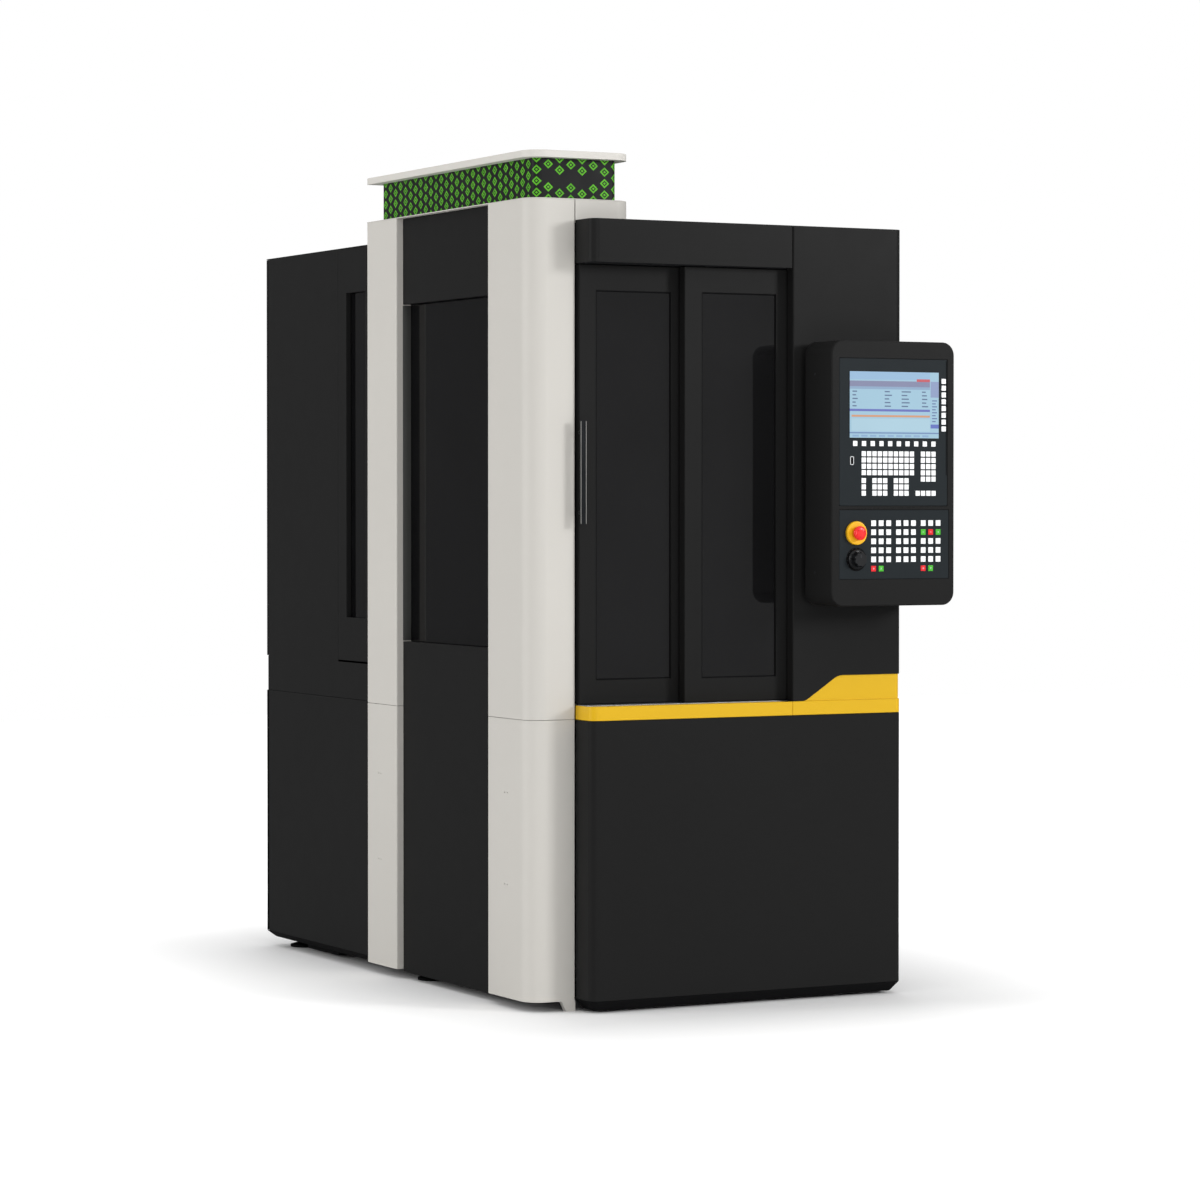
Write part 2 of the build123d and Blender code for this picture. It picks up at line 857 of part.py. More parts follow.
def bed():
    # The cast bed: a hollow box with cored side openings and two flat ways on its deck.
    x0 = spindle_x - bed_width / 2
    x1 = spindle_x + bed_width / 2
    z0 = frame_bottom + frame_height
    body = block(x0, x1, bed_front, bed_back, z0, bed_top)
    body -= block(x0 + bed_wall, x1 - bed_wall, bed_front + bed_wall, bed_back - bed_wall, z0 - 1, bed_top - bed_wall)
    window = (bed_back - bed_front - 2 * bed_port_end - bed_port_gap) / 2
    height = bed_top - z0 - bed_port_low - bed_port_high
    for k in range(2):
        y = bed_front + bed_port_end + window / 2 + k * (window + bed_port_gap)
        port = RectangleRounded(window, height, bed_port_r)
        port = Plane((x0 - 1, y, z0 + bed_port_low + height / 2), x_dir=(0, 1, 0), z_dir=(1, 0, 0)) * port
        body -= extrude(port, bed_width + 2)
    for side in (-1, 1):
        x = spindle_x + side * bed_way_spread / 2
        body += block(x - way_width / 2, x + way_width / 2, bed_front + 20, way_face_y - 5, bed_top - 1,
                      bed_top + way_height)
    return body


def column():
    # The cast column leans back to a narrow top and is ribbed inside its open back.
    x0 = spindle_x - column_width / 2
    x1 = spindle_x + column_width / 2
    y0 = column_front
    foot = y0 + column_foot_depth
    head = y0 + column_head_depth
    shoulder = bed_top + column_shoulder
    body = along_x([(y0, bed_top), (foot, bed_top), (foot, bed_top + column_foot_height), (head, shoulder),
                    (head, column_top), (y0, column_top)], x0, x1)
    wall = column_wall
    levels = [bed_top + wall, shoulder, bed_top + column_rib, column_top]
    for low, high in zip(levels[:-1], levels[1:]):
        body -= block(x0 + wall, x1 - wall, y0 + 2 * wall, foot + 1, low, high - wall)
    for side in (-1, 1):
        x = spindle_x + side * column_way_spread / 2
        half = column_way_width / 2
        body += block(x - half, x + half, way_face_y, y0 + 1, column_way_bottom, column_top - 20)
    return body


def saddle():
    y0 = spindle_y - saddle_width / 2
    y1 = spindle_y + saddle_width / 2
    x0 = spindle_x - saddle_length / 2
    x1 = spindle_x + saddle_length / 2
    body = block(x0, x1, y0, y1, saddle_bottom, saddle_top)
    body = chamfer(body.edges().filter_by(Axis.Y).group_by(Axis.Z)[0], saddle_chamfer)
    for side in (-1, 1):
        edge = spindle_x + side * (bed_way_spread / 2 + way_width / 2 + slide_gap)
        far = edge + side * gib_width
        body += block(min(edge, far), max(edge, far), y0, y1, saddle_bottom - gib_depth, saddle_bottom + 1)
        y = spindle_y + side * saddle_way_spread / 2
        half = saddle_way_width / 2
        body += block(x0, x1, y - half, y + half, saddle_top - 1, saddle_top + saddle_way_height)
    return body


def table():
    x0 = spindle_x - table_length / 2
    x1 = spindle_x + table_length / 2
    y0 = spindle_y - table_width / 2
    y1 = spindle_y + table_width / 2
    body = block(x0, x1, y0, y1, table_bottom, table_top)
    for k in range(slot_count):
        y = spindle_y + (k - (slot_count - 1) / 2) * slot_pitch
        body -= block(x0 - 1, x1 + 1, y - slot_width / 2, y + slot_width / 2, table_top - slot_depth, table_top + 1)
        body -= block(x0 - 1, x1 + 1, y - slot_foot / 2, y + slot_foot / 2, table_top - slot_depth,
                      table_top - slot_neck)
    for side in (-1, 1):
        edge = spindle_y + side * (saddle_way_spread / 2 + saddle_way_width / 2 + slide_gap)
        far = edge + side * gib_width
        body += block(x0, x1, min(edge, far), max(edge, far), table_bottom - gib_depth, table_bottom + 1)
    return body


def spindle_head():
    x0 = spindle_x - head_width / 2
    x1 = spindle_x + head_width / 2
    back = way_face_y - slide_gap
    body = block(x0, x1, head_front, back, head_bottom, head_top)
    body = fillet(body.edges().filter_by(Axis.Z).group_by(Axis.Y)[0], head_corner_r)
    body += Pos(spindle_x, spindle_y, (nose_bottom + head_bottom + 20) / 2) * Cylinder(nose_r, head_bottom + 20 - nose_bottom)
    body -= Pos(spindle_x, spindle_y, (nose_bottom + head_top) / 2) * Cylinder(spindle_r + slide_gap,
                                                                               head_top - nose_bottom + 2)
    edge = column_way_spread / 2 + column_way_width / 2 + slide_gap
    for side in (-1, 1):
        near = spindle_x + side * edge
        far = spindle_x + side * head_width / 2
        body += block(min(near, far), max(near, far), back - 1, back + gib_depth, head_bottom, head_top)
    return body


def spindle():
    # The spindle with its nose, drive keys and tapered socket.
    profile = [(taper_r, spindle_bottom), (spindle_nose_r, spindle_bottom), (spindle_nose_r, nose_bottom - 1),
               (spindle_r, nose_bottom - 1), (spindle_r, spindle_top), (0, spindle_top),
               (0, spindle_bottom + taper_depth + 40), (taper_end_r, spindle_bottom + taper_depth + 40),
               (taper_end_r, spindle_bottom + taper_depth)]
    body = turned(profile, spindle_x, spindle_y)
    for side in (-1, 1):
        x = spindle_x + side * (taper_r + spindle_nose_r) / 2
        body += block(x - 6, x + 6, spindle_y - 5, spindle_y + 5, spindle_bottom - 6, spindle_bottom + 1)
    return body


def motor(size, height, x, y, z):
    body = block(x - size / 2, x + size / 2, y - size / 2, y + size / 2, z, z + height)
    body = chamfer(body.edges().filter_by(Axis.Z), size / 8)
    cap = block(x - size / 2 + 8, x + size / 2 - 8, y - size / 2 + 8, y + size / 2 - 8, z + height - 1, z + height + 24)
    return body + chamfer(cap.edges().filter_by(Axis.Z), size / 8)


# Tool magazine


def magazine_beam():
    # The bracket bolted to the column face, with two lugs that hold the guide rods.
    y1 = column_front - seam - chamber_sheet - seam
    y0 = y1 - beam_depth
    beam = block(beam_left, beam_right, y0, y1, beam_bottom, beam_top)
    beam += block(spindle_x - column_width / 2 + seat_gap + 1, beam_right, y1 - 1, column_front, beam_bottom, beam_top)
    for x0 in (beam_left, beam_right - lug_width):
        beam += block(x0, x0 + lug_width, rod_y - lug_front, y0 + 1, beam_bottom, beam_top)
    for rod in guide_rods():
        beam -= rod
    return beam


def guide_rods():
    length = beam_right - beam_left - lug_width
    middle = (beam_left + beam_right) / 2
    return [Pos(middle, rod_y, z) * Cylinder(rod_r, length, rotation=(0, 90, 0)) for z in (rod_z, rod_z + rod_pitch)]


def magazine_carriage():
    # The slide stops short of the right lug when a seat of the disc is under the spindle.
    slide_right = beam_right - lug_width - slide_stop - magazine_travel
    slide_left = slide_right - carriage_length
    low = rod_z - carriage_rise
    high = rod_z + rod_pitch + carriage_rise
    body = block(slide_left, slide_right, rod_y - carriage_front, rod_y + carriage_rear, low, high)
    body += block(slide_right - arm_width, slide_right, spindle_y, rod_y - carriage_front + 1, low, carriage_top)
    hub = Pos(magazine_x, spindle_y, (carriage_bottom + carriage_top) / 2) * Cylinder(
        carriage_r, carriage_top - carriage_bottom)
    body += hub
    for z in (rod_z, rod_z + rod_pitch):
        body -= Pos(magazine_x, rod_y, z) * Cylinder(rod_r + slide_gap, 3 * carriage_length, rotation=(0, 90, 0))
    bore = Pos(magazine_x, spindle_y, carriage_bottom + 39) * Cylinder(pin_r + slide_gap, 80)
    return body - bore


def magazine_motor():
    z = carriage_top
    body = Pos(magazine_x, spindle_y, z + 40) * Cylinder(carriage_r - 3, 80)
    return body


def tool_disc():
    # The disc has an open round seat at its rim for each tool, and a flared hub above.
    plate = Pos(magazine_x, spindle_y, disc_z) * Cylinder(disc_r, disc_thickness)
    for k in range(pocket_count):
        turn = 2 * math.pi * k / pocket_count
        x = magazine_x + disc_reach * math.cos(turn)
        y = spindle_y + disc_reach * math.sin(turn)
        plate -= Pos(x, y, disc_z) * Cylinder(groove_r + stock_gap, disc_thickness + 2)
    half = disc_thickness / 2
    hub = turned([(0, disc_z - half), (hub_foot_r - 16, disc_z - half), (hub_foot_r, disc_z + half),
                  (hub_foot_r, hub_base), (hub_r + 22, hub_base + 26), (hub_r, hub_top - 40), (hub_r, hub_top),
                  (pin_r, hub_top), (pin_r, carriage_bottom + 70), (0, carriage_bottom + 70)],
                 magazine_x, spindle_y)
    return plate + hub


def tool_holders():
    # Taper shank holders with a gripping groove, each carrying a cutter of one of three lengths.
    tools = []
    low = disc_z - flange_height / 2
    high = disc_z + flange_height / 2
    for k in range(pocket_count):
        turn = 2 * math.pi * k / pocket_count
        x = magazine_x + disc_reach * math.cos(turn)
        y = spindle_y + disc_reach * math.sin(turn)
        tip = low - 34 - cutter_lengths[k % len(cutter_lengths)]
        groove = disc_thickness / 2 + stock_gap
        profile = [(0, tip), (5, tip), (5, low - 34), (15, low - 34), (18, low), (flange_r, low),
                   (flange_r, disc_z - groove), (groove_r, disc_z - groove), (groove_r, disc_z + groove),
                   (flange_r, disc_z + groove), (flange_r, high), (taper_r - 0.3, high),
                   (taper_end_r, high + taper_depth - 2), (0, high + taper_depth - 2)]
        tools.append(turned(profile, x, y))
    return tools


# Control unit


def face_outline(x0, x1, z0, z1, radius):
    return Pos((x0 + x1) / 2, (z0 + z1) / 2) * RectangleRounded(x1 - x0, z1 - z0, radius)


def control_housing():
    shell = along_y(face_outline(unit_left, unit_right, unit_bottom, unit_top, unit_corner_r), unit_front, unit_back)
    shell = fillet(shell.faces().sort_by(Axis.Y)[0].edges(), unit_edge_r)
    wall = unit_wall - 2
    room = along_y(face_outline(unit_left + wall, unit_right - wall, unit_bottom + wall, unit_top - wall,
                                unit_corner_r - wall), unit_face, unit_back + 1)
    shell -= room
    for right, low, high in ((upper_right, upper_bottom, upper_top), (lower_right, lower_bottom, lower_top)):
        shell -= block(upper_left - seat_gap, right + seat_gap, unit_front - 1, fascia_front + fascia_thickness,
                       low - seat_gap, high + seat_gap)
    return shell


def control_bracket():
    # The closing plate of the housing and the stand-off box that carries it on the fixed panel.
    wall = unit_wall - 2 + seat_gap
    plate = along_y(face_outline(unit_left + wall, unit_right - wall, unit_bottom + wall, unit_top - wall,
                                 unit_corner_r - wall), unit_back - sheet, unit_back)
    return plate + block(bracket_left, bracket_right, unit_back - 1, 0, bracket_bottom, bracket_top)


def fascia(right, low, high, inner):
    plate = block(upper_left, right, fascia_front, fascia_front + fascia_thickness, low, high)
    return fillet(plate.edges().filter_by(Axis.Y), inner)


def screen():
    return block(screen_left, screen_right, fascia_front - screen_proud, fascia_front, screen_bottom, screen_top)


def key(x, z, size):
    half = size / 2
    return block(x - half, x + half, fascia_front - key_proud, fascia_front, z - half, z + half)


def key_grid(x0, z0, columns, rows, x_step, z_step, size=key_size):
    return [key(x0 + i * x_step, z0 - j * z_step, size) for j in range(rows) for i in range(columns)]


def upper_keys():
    # Soft keys beside and below the screen, then the letter, number and cursor groups.
    keys = key_grid(side_key_x, side_key_z, 1, 8, 0, side_key_pitch)
    keys += key_grid(under_key_x, under_key_z, 10, 1, under_key_pitch, 0)
    keys += key_grid(letter_key_x, letter_key_z, 10, 4, key_pitch, key_pitch)
    keys += key_grid(number_key_x, letter_key_z, 3, 5, key_pitch, key_pitch)
    keys += key_grid(letter_key_x, cursor_key_z, 1, 3, 0, key_pitch)
    keys += key_grid(cursor_key_x, cursor_key_z, 3, 3, key_pitch, key_pitch)
    keys += key_grid(edit_key_x, cursor_key_z, 3, 3, key_pitch, key_pitch)
    keys += key_grid(arrow_key_x, cursor_key_z - 2 * key_pitch, 4, 1, key_pitch, 0)
    return keys


def panel_key(column, row):
    # One key of the machine panel, counted in three groups of three columns.
    group = column // 3
    x = panel_group_x + group * panel_group_pitch + (column - 3 * group) * panel_key_pitch
    z = panel_last_row_z if row == 5 else panel_key_z - row * panel_row_pitch
    return key(x, z, panel_key_size)


def white_keys():
    lower = [panel_key(column, row) for row in range(5) for column in range(9) if column < 6 or row != 1]
    return upper_keys() + lower


def red_keys():
    return [panel_key(7, 1), panel_key(0, 5), panel_key(6, 5)]


def green_keys():
    return [panel_key(6, 1), panel_key(8, 1), panel_key(1, 5), panel_key(7, 5)]


def stop_ring():
    bore = stop_neck_r + slide_gap
    profile = [(bore, 0), (stop_ring_r, 0), (stop_ring_r, stop_ring_height - 2), (stop_ring_r - 2, stop_ring_height),
               (bore, stop_ring_height)]
    return turned_forward(profile, stop_x, fascia_front, stop_z)


def stop_button():
    # The mushroom head with its neck, which has room to be pushed in by its travel.
    start = stop_travel + seat_gap
    rim = stop_ring_height + stop_travel
    top = rim + stop_head_height
    profile = [(0, start), (stop_neck_r, start), (stop_neck_r, rim), (stop_head_r - 3, rim), (stop_head_r, rim + 4),
               (stop_head_r, top - 7), (stop_head_r - 4, top - 2), (stop_head_r - 10, top), (0, top)]
    return turned_forward(profile, stop_x, fascia_front, stop_z)


def override_knob():
    profile = [(0, slide_gap), (knob_r, slide_gap), (knob_r, 5), (knob_r - 5, 7), (knob_r - 7, knob_height),
               (0, knob_height)]
    body = turned_forward(profile, knob_x, fascia_front, knob_z)
    for k in range(8):
        turn = 2 * math.pi * k / 8
        x = knob_x + (knob_r - 3) * math.cos(turn)
        z = knob_z + (knob_r - 3) * math.sin(turn)
        flute = Cylinder(6, knob_height, rotation=(90, 0, 0))
        body -= Pos(x, fascia_front - 7 - knob_height / 2, z) * flute
    return body


# All the pieces by name


def build_all():
    front_left = front_leaf_left
    return {
        "front_lower_panel": front_lower_panel(),
        "front_plinth": front_plinth(),
        "accent_strip_left": strip_left(),
        "accent_strip_right": strip_right(),
        "front_header": front_header(),
        "front_fixed_panel": front_fixed_panel(),
        "door_track_lower": door_track_lower(),
        "door_track_upper": door_track_upper(),
        "front_leaf_frame": leaf_frame(front_left, front_leaf_width, front_leaf_face, front_pane_left,
                                       front_pane_right),
        "front_leaf_glass": leaf_pane(front_leaf_face, front_pane_left, front_pane_right),
        "rear_leaf_frame": leaf_frame(rear_leaf_left, rear_leaf_width, rear_leaf_face, rear_pane_left,
                                      rear_pane_right),
        "rear_leaf_glass": leaf_pane(rear_leaf_face, rear_pane_left, rear_pane_right),
        "door_handle": door_handle(),
        "front_column_upper": front_column(tower_seam + seam, tower_top - sheet),
        "front_column_lower": front_column_lower(),
        "rear_column_upper": rear_column(tower_seam + seam, tower_top - sheet),
        "rear_column_lower": rear_column_lower(),
        "panel_above_window": side_panel(window_top, tower_top - sheet, window_top, 1),
        "panel_below_window": side_panel(middle_bottom, window_bottom, window_bottom, -1),
        "side_window_glass": side_window_glass(),
        "tower_back_cover": tower_back_cover(),
        "tower_top_plate": tower_top_plate(),
        "sign_box": sign_box(),
        "sign_lid": sign_lid(),
        "magazine_door": magazine_door(),
        "magazine_door_glass": magazine_door_glass(),
        "rear_left_upper_panel": rear_left_upper_panel(),
        "rear_left_lower_panel": rear_left_lower_panel(),
        "right_upper_panel": right_panel(cabinet_seam + seam, cabinet_top - sheet),
        "right_lower_panel": right_panel(cabinet_bottom + seam, cabinet_seam),
        "rear_plinth": rear_plinth(),
        "rear_lower_cover": rear_lower_cover(),
        "rear_upper_door": rear_upper_door(),
        "cabinet_roof": cabinet_roof(),
        "base_frame": base_frame(),
        "levelling_feet": levelling_feet(),
        "coolant_tank": coolant_tank(),
        "chamber_floor": chamber_floor(),
        "chamber_walls": chamber_walls(),
        "electrical_plate": electrical_plate() + drive_modules(),
        "bed_casting": bed(),
        "column_casting": column() + motor(z_motor_size, z_motor_height, spindle_x,
                                           column_front + column_head_depth / 2, column_top),
        "saddle": saddle(),
        "work_table": table(),
        "spindle_head": spindle_head(),
        "spindle": spindle(),
        "spindle_motor": motor(motor_size, motor_height, spindle_x, spindle_y, head_top),
        "magazine_beam": magazine_beam() + guide_rods(),
        "magazine_carriage": magazine_carriage() + magazine_motor(),
        "tool_disc": tool_disc(),
        "tool_holders": tool_holders(),
        "control_housing": control_housing(),
        "control_bracket": control_bracket(),
        "operator_fascia": fascia(upper_right, upper_bottom, upper_top, 4),
        "machine_fascia": fascia(lower_right, lower_bottom, lower_top, 2),
        "screen": screen(),
        "panel_keys": white_keys() + red_keys() + green_keys(),
        "stop_ring": stop_ring(),
        "stop_button": stop_button(),
        "override_knob": override_knob(),
    }


def bodies_of(shape):
    # One compound for a node, whether it is a single solid or a group of alike pieces.
    if isinstance(shape, list):
        return Compound([body for item in shape for body in item.solids()])
    return shape


for name, shape in build_all().items():
    export_step(Pos(-centre) * bodies_of(shape), os.path.join("parts", name + ".step"))
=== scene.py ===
import json
import math

import bmesh
import bpy
from mathutils import Matrix, Vector

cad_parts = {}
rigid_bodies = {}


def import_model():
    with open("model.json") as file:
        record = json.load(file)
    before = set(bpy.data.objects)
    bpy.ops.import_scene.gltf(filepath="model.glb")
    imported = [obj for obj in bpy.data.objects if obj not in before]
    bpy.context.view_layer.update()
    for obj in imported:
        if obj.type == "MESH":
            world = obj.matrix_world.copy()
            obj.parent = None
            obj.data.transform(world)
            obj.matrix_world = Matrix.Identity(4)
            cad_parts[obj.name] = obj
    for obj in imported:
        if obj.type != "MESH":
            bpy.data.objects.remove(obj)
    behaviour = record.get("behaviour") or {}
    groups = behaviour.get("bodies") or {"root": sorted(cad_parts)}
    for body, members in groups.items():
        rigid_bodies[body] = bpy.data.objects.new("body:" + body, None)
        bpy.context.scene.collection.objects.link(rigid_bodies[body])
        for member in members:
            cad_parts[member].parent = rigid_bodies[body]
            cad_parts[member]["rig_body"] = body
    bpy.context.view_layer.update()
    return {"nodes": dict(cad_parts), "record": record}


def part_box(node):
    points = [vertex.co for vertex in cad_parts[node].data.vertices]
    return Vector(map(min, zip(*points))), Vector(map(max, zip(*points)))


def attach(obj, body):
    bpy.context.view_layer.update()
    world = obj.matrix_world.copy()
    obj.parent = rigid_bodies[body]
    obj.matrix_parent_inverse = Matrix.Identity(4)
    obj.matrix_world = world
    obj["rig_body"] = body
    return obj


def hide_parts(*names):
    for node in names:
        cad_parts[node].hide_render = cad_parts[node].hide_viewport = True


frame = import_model()

# Drafting origin: the front left corner of the door box at the floor, in millimetres.
originX = 421
originY = 795


def at(x, y, z):
    return Vector(((x - originX) / 1000, (y - originY) / 1000, z / 1000))


def mm(size):
    return size / 1000


def tone(red, green, blue):
    # A screen colour of 0 to 255 as a linear colour for a shader.
    parts = []
    for value in (red, green, blue):
        share = value / 255
        parts.append(share / 12.92 if share <= 0.04045 else ((share + 0.055) / 1.055) ** 2.4)
    return (parts[0], parts[1], parts[2], 1)


# Materials

def newFinish(name):
    finish = bpy.data.materials.new(name)
    finish.use_nodes = True
    tree = finish.node_tree
    return finish, tree, tree.nodes["Principled BSDF"]


def noiseAt(tree, scale, detail=3.0, stretch=(1, 1, 1), roughness=0.5):
    coords = tree.nodes.new("ShaderNodeTexCoord")
    place = tree.nodes.new("ShaderNodeMapping")
    place.inputs["Scale"].default_value = stretch
    noise = tree.nodes.new("ShaderNodeTexNoise")
    noise.inputs["Scale"].default_value = scale
    noise.inputs["Detail"].default_value = detail
    noise.inputs["Roughness"].default_value = roughness
    tree.links.new(coords.outputs["Object"], place.inputs["Vector"])
    tree.links.new(place.outputs["Vector"], noise.inputs["Vector"])
    return noise.outputs["Fac"]


def spread(tree, source, low, high, fromLow=0.3, fromHigh=0.7):
    ranged = tree.nodes.new("ShaderNodeMapRange")
    ranged.inputs["From Min"].default_value = fromLow
    ranged.inputs["From Max"].default_value = fromHigh
    ranged.inputs["To Min"].default_value = low
    ranged.inputs["To Max"].default_value = high
    tree.links.new(source, ranged.inputs["Value"])
    return ranged.outputs["Result"]


def blendTones(tree, factor, first, second):
    # Blends two colours by a link. Each of the two may be a colour or a link.
    mixer = tree.nodes.new("ShaderNodeMix")
    mixer.data_type = "RGBA"
    tree.links.new(factor, mixer.inputs["Factor"])
    for name, colour in (("A", first), ("B", second)):
        if isinstance(colour, tuple):
            mixer.inputs[name].default_value = colour
        else:
            tree.links.new(colour, mixer.inputs[name])
    return mixer.outputs["Result"]


def dimmed(colour, share):
    return (colour[0] * share, colour[1] * share, colour[2] * share, 1)


def driftingTint(tree, pattern, values):
    # The colour of a finish, and a slightly dimmer one where the pattern is low.
    dimmer = dimmed(values["colour"], values["drift"])
    return blendTones(tree, spread(tree, pattern, 0, 1), dimmer, values["colour"])


def roughened(tree, shader, pattern, roughness, reach):
    rough = spread(tree, pattern, roughness - reach, roughness + reach)
    tree.links.new(rough, shader.inputs["Roughness"])


def bumped(tree, shader, height, strength, distance):
    bump = tree.nodes.new("ShaderNodeBump")
    bump.inputs["Strength"].default_value = strength
    bump.inputs["Distance"].default_value = distance
    tree.links.new(height, bump.inputs["Height"])
    tree.links.new(bump.outputs["Normal"], shader.inputs["Normal"])


# What every finish of a kind shares. A reach is how far its roughness wanders to each side.
sharedValues = {"paintReach": 0.02, "sheenPerDrift": 6, "metalReach": 0.07, "plasticReach": 0.05,
                "coatRoughness": 0.15, "plasticHeight": 0.2, "dustLift": 1.25, "glassIndex": 1.5}


def paintFinish(name, values):
    # Powder coat: an even tint with slow drift, and a fine orange peel.
    finish, tree, shader = newFinish(name)
    drift = noiseAt(tree, values["driftScale"], 2.0)
    tree.links.new(driftingTint(tree, drift, values), shader.inputs["Base Color"])
    sheen = noiseAt(tree, values["driftScale"] * sharedValues["sheenPerDrift"], 3.0)
    roughened(tree, shader, sheen, values["roughness"], sharedValues["paintReach"])
    shader.inputs["Specular IOR Level"].default_value = values["gloss"]
    peel = noiseAt(tree, 1000 / values["peelSize"], 2.0)
    bumped(tree, shader, peel, values["peelStrength"], mm(values["peelHeight"]))
    return finish


def metalFinish(name, values):
    # Bare or plated metal, with its grain drawn out along one axis.
    finish, tree, shader = newFinish(name)
    shader.inputs["Metallic"].default_value = 1
    grain = noiseAt(tree, values["grainScale"], 4.0, values["grainStretch"])
    tree.links.new(driftingTint(tree, grain, values), shader.inputs["Base Color"])
    roughened(tree, shader, grain, values["roughness"], sharedValues["metalReach"])
    bumped(tree, shader, grain, values["grainStrength"], mm(values["grainHeight"]))
    return finish


def plasticFinish(name, values):
    # Moulded plastic or film: a fine even grain and a soft gloss.
    finish, tree, shader = newFinish(name)
    grain = noiseAt(tree, 1000 / values["grainSize"], 3.0)
    tree.links.new(driftingTint(tree, grain, values), shader.inputs["Base Color"])
    roughened(tree, shader, grain, values["roughness"], sharedValues["plasticReach"])
    shader.inputs["Specular IOR Level"].default_value = values["gloss"]
    shader.inputs["Coat Weight"].default_value = values["coat"]
    shader.inputs["Coat Roughness"].default_value = sharedValues["coatRoughness"]
    bumped(tree, shader, grain, values["grainStrength"], mm(sharedValues["plasticHeight"]))
    return finish


def glassFinish(name, values):
    # Dark tinted safety glass, with a faint film of dust that dulls it a little.
    finish, tree, shader = newFinish(name)
    film = noiseAt(tree, values["filmScale"], 4.0)
    dustyTint = dimmed(values["tint"], sharedValues["dustLift"])
    tint = blendTones(tree, spread(tree, film, 0, 1), values["tint"], dustyTint)
    tree.links.new(tint, shader.inputs["Base Color"])
    dusty = spread(tree, film, values["roughness"], values["roughness"] + values["dust"])
    tree.links.new(dusty, shader.inputs["Roughness"])
    shader.inputs["Transmission Weight"].default_value = values["clear"]
    shader.inputs["IOR"].default_value = sharedValues["glassIndex"]
    shader.inputs["Specular IOR Level"].default_value = values["gloss"]
    return finish


paintValues = {
    "blackPaint": {"colour": tone(32, 32, 32), "drift": 0.97, "driftScale": 2.5, "roughness": 0.38,
                   "gloss": 0.04, "peelSize": 1.6, "peelStrength": 0.22, "peelHeight": 0.12},
    "darkBase": {"colour": tone(20, 20, 21), "drift": 0.94, "driftScale": 4, "roughness": 0.55,
                 "gloss": 0.06, "peelSize": 1.8, "peelStrength": 0.3, "peelHeight": 0.15},
    "yellowPaint": {"colour": tone(214, 170, 22), "drift": 0.98, "driftScale": 3, "roughness": 0.44,
                    "gloss": 0.18, "peelSize": 1.6, "peelStrength": 0.16, "peelHeight": 0.1},
    "greyPaint": {"colour": tone(198, 195, 189), "drift": 0.985, "driftScale": 2, "roughness": 0.48,
                  "gloss": 0.25, "peelSize": 1.6, "peelStrength": 0.16, "peelHeight": 0.1},
    "whitePaint": {"colour": tone(208, 205, 199), "drift": 0.985, "driftScale": 2, "roughness": 0.47,
                   "gloss": 0.25, "peelSize": 1.6, "peelStrength": 0.16, "peelHeight": 0.1},
    "castPaint": {"colour": tone(196, 199, 198), "drift": 0.93, "driftScale": 6, "roughness": 0.55,
                  "gloss": 0.35, "peelSize": 4.0, "peelStrength": 0.45, "peelHeight": 0.3},
    "magazineGrey": {"colour": tone(120, 124, 128), "drift": 0.93, "driftScale": 8, "roughness": 0.48,
                     "gloss": 0.4, "peelSize": 2.0, "peelStrength": 0.25, "peelHeight": 0.15},
    "fasciaGrey": {"colour": tone(33, 38, 41), "drift": 0.97, "driftScale": 9, "roughness": 0.45,
                   "gloss": 0.06, "peelSize": 0.7, "peelStrength": 0.3, "peelHeight": 0.08},
    "jambGrey": {"colour": tone(70, 71, 69), "drift": 0.94, "driftScale": 9, "roughness": 0.5,
                 "gloss": 0.3, "peelSize": 1.2, "peelStrength": 0.2, "peelHeight": 0.08},
    "panelBlack": {"colour": tone(30, 31, 33), "drift": 0.9, "driftScale": 9, "roughness": 0.38,
                   "gloss": 0.2, "peelSize": 0.9, "peelStrength": 0.15, "peelHeight": 0.08},
}
metalValues = {
    "handleBlack": {"colour": tone(34, 35, 37), "drift": 0.9, "roughness": 0.34, "grainScale": 60,
                    "grainStretch": (8, 8, 0.4), "grainStrength": 0.1, "grainHeight": 0.1},
    "darkAluminium": {"colour": tone(70, 72, 76), "drift": 0.85, "roughness": 0.32, "grainScale": 60,
                      "grainStretch": (8, 8, 0.4), "grainStrength": 0.1, "grainHeight": 0.1},
    "railAluminium": {"colour": tone(168, 171, 175), "drift": 0.9, "roughness": 0.34, "grainScale": 60,
                      "grainStretch": (0.4, 8, 8), "grainStrength": 0.1, "grainHeight": 0.1},
    "zincSteel": {"colour": tone(188, 191, 194), "drift": 0.85, "roughness": 0.36, "grainScale": 30,
                  "grainStretch": (1, 1, 1), "grainStrength": 0.12, "grainHeight": 0.15},
    "linerSteel": {"colour": tone(176, 178, 180), "drift": 0.92, "roughness": 0.38, "grainScale": 70,
                   "grainStretch": (0.5, 0.5, 10), "grainStrength": 0.08, "grainHeight": 0.1},
    "groundIron": {"colour": tone(150, 152, 154), "drift": 0.85, "roughness": 0.3, "grainScale": 110,
                   "grainStretch": (0.3, 10, 10), "grainStrength": 0.1, "grainHeight": 0.06},
    "groundSteel": {"colour": tone(196, 198, 201), "drift": 0.9, "roughness": 0.22, "grainScale": 120,
                    "grainStretch": (1, 1, 12), "grainStrength": 0.08, "grainHeight": 0.05},
}
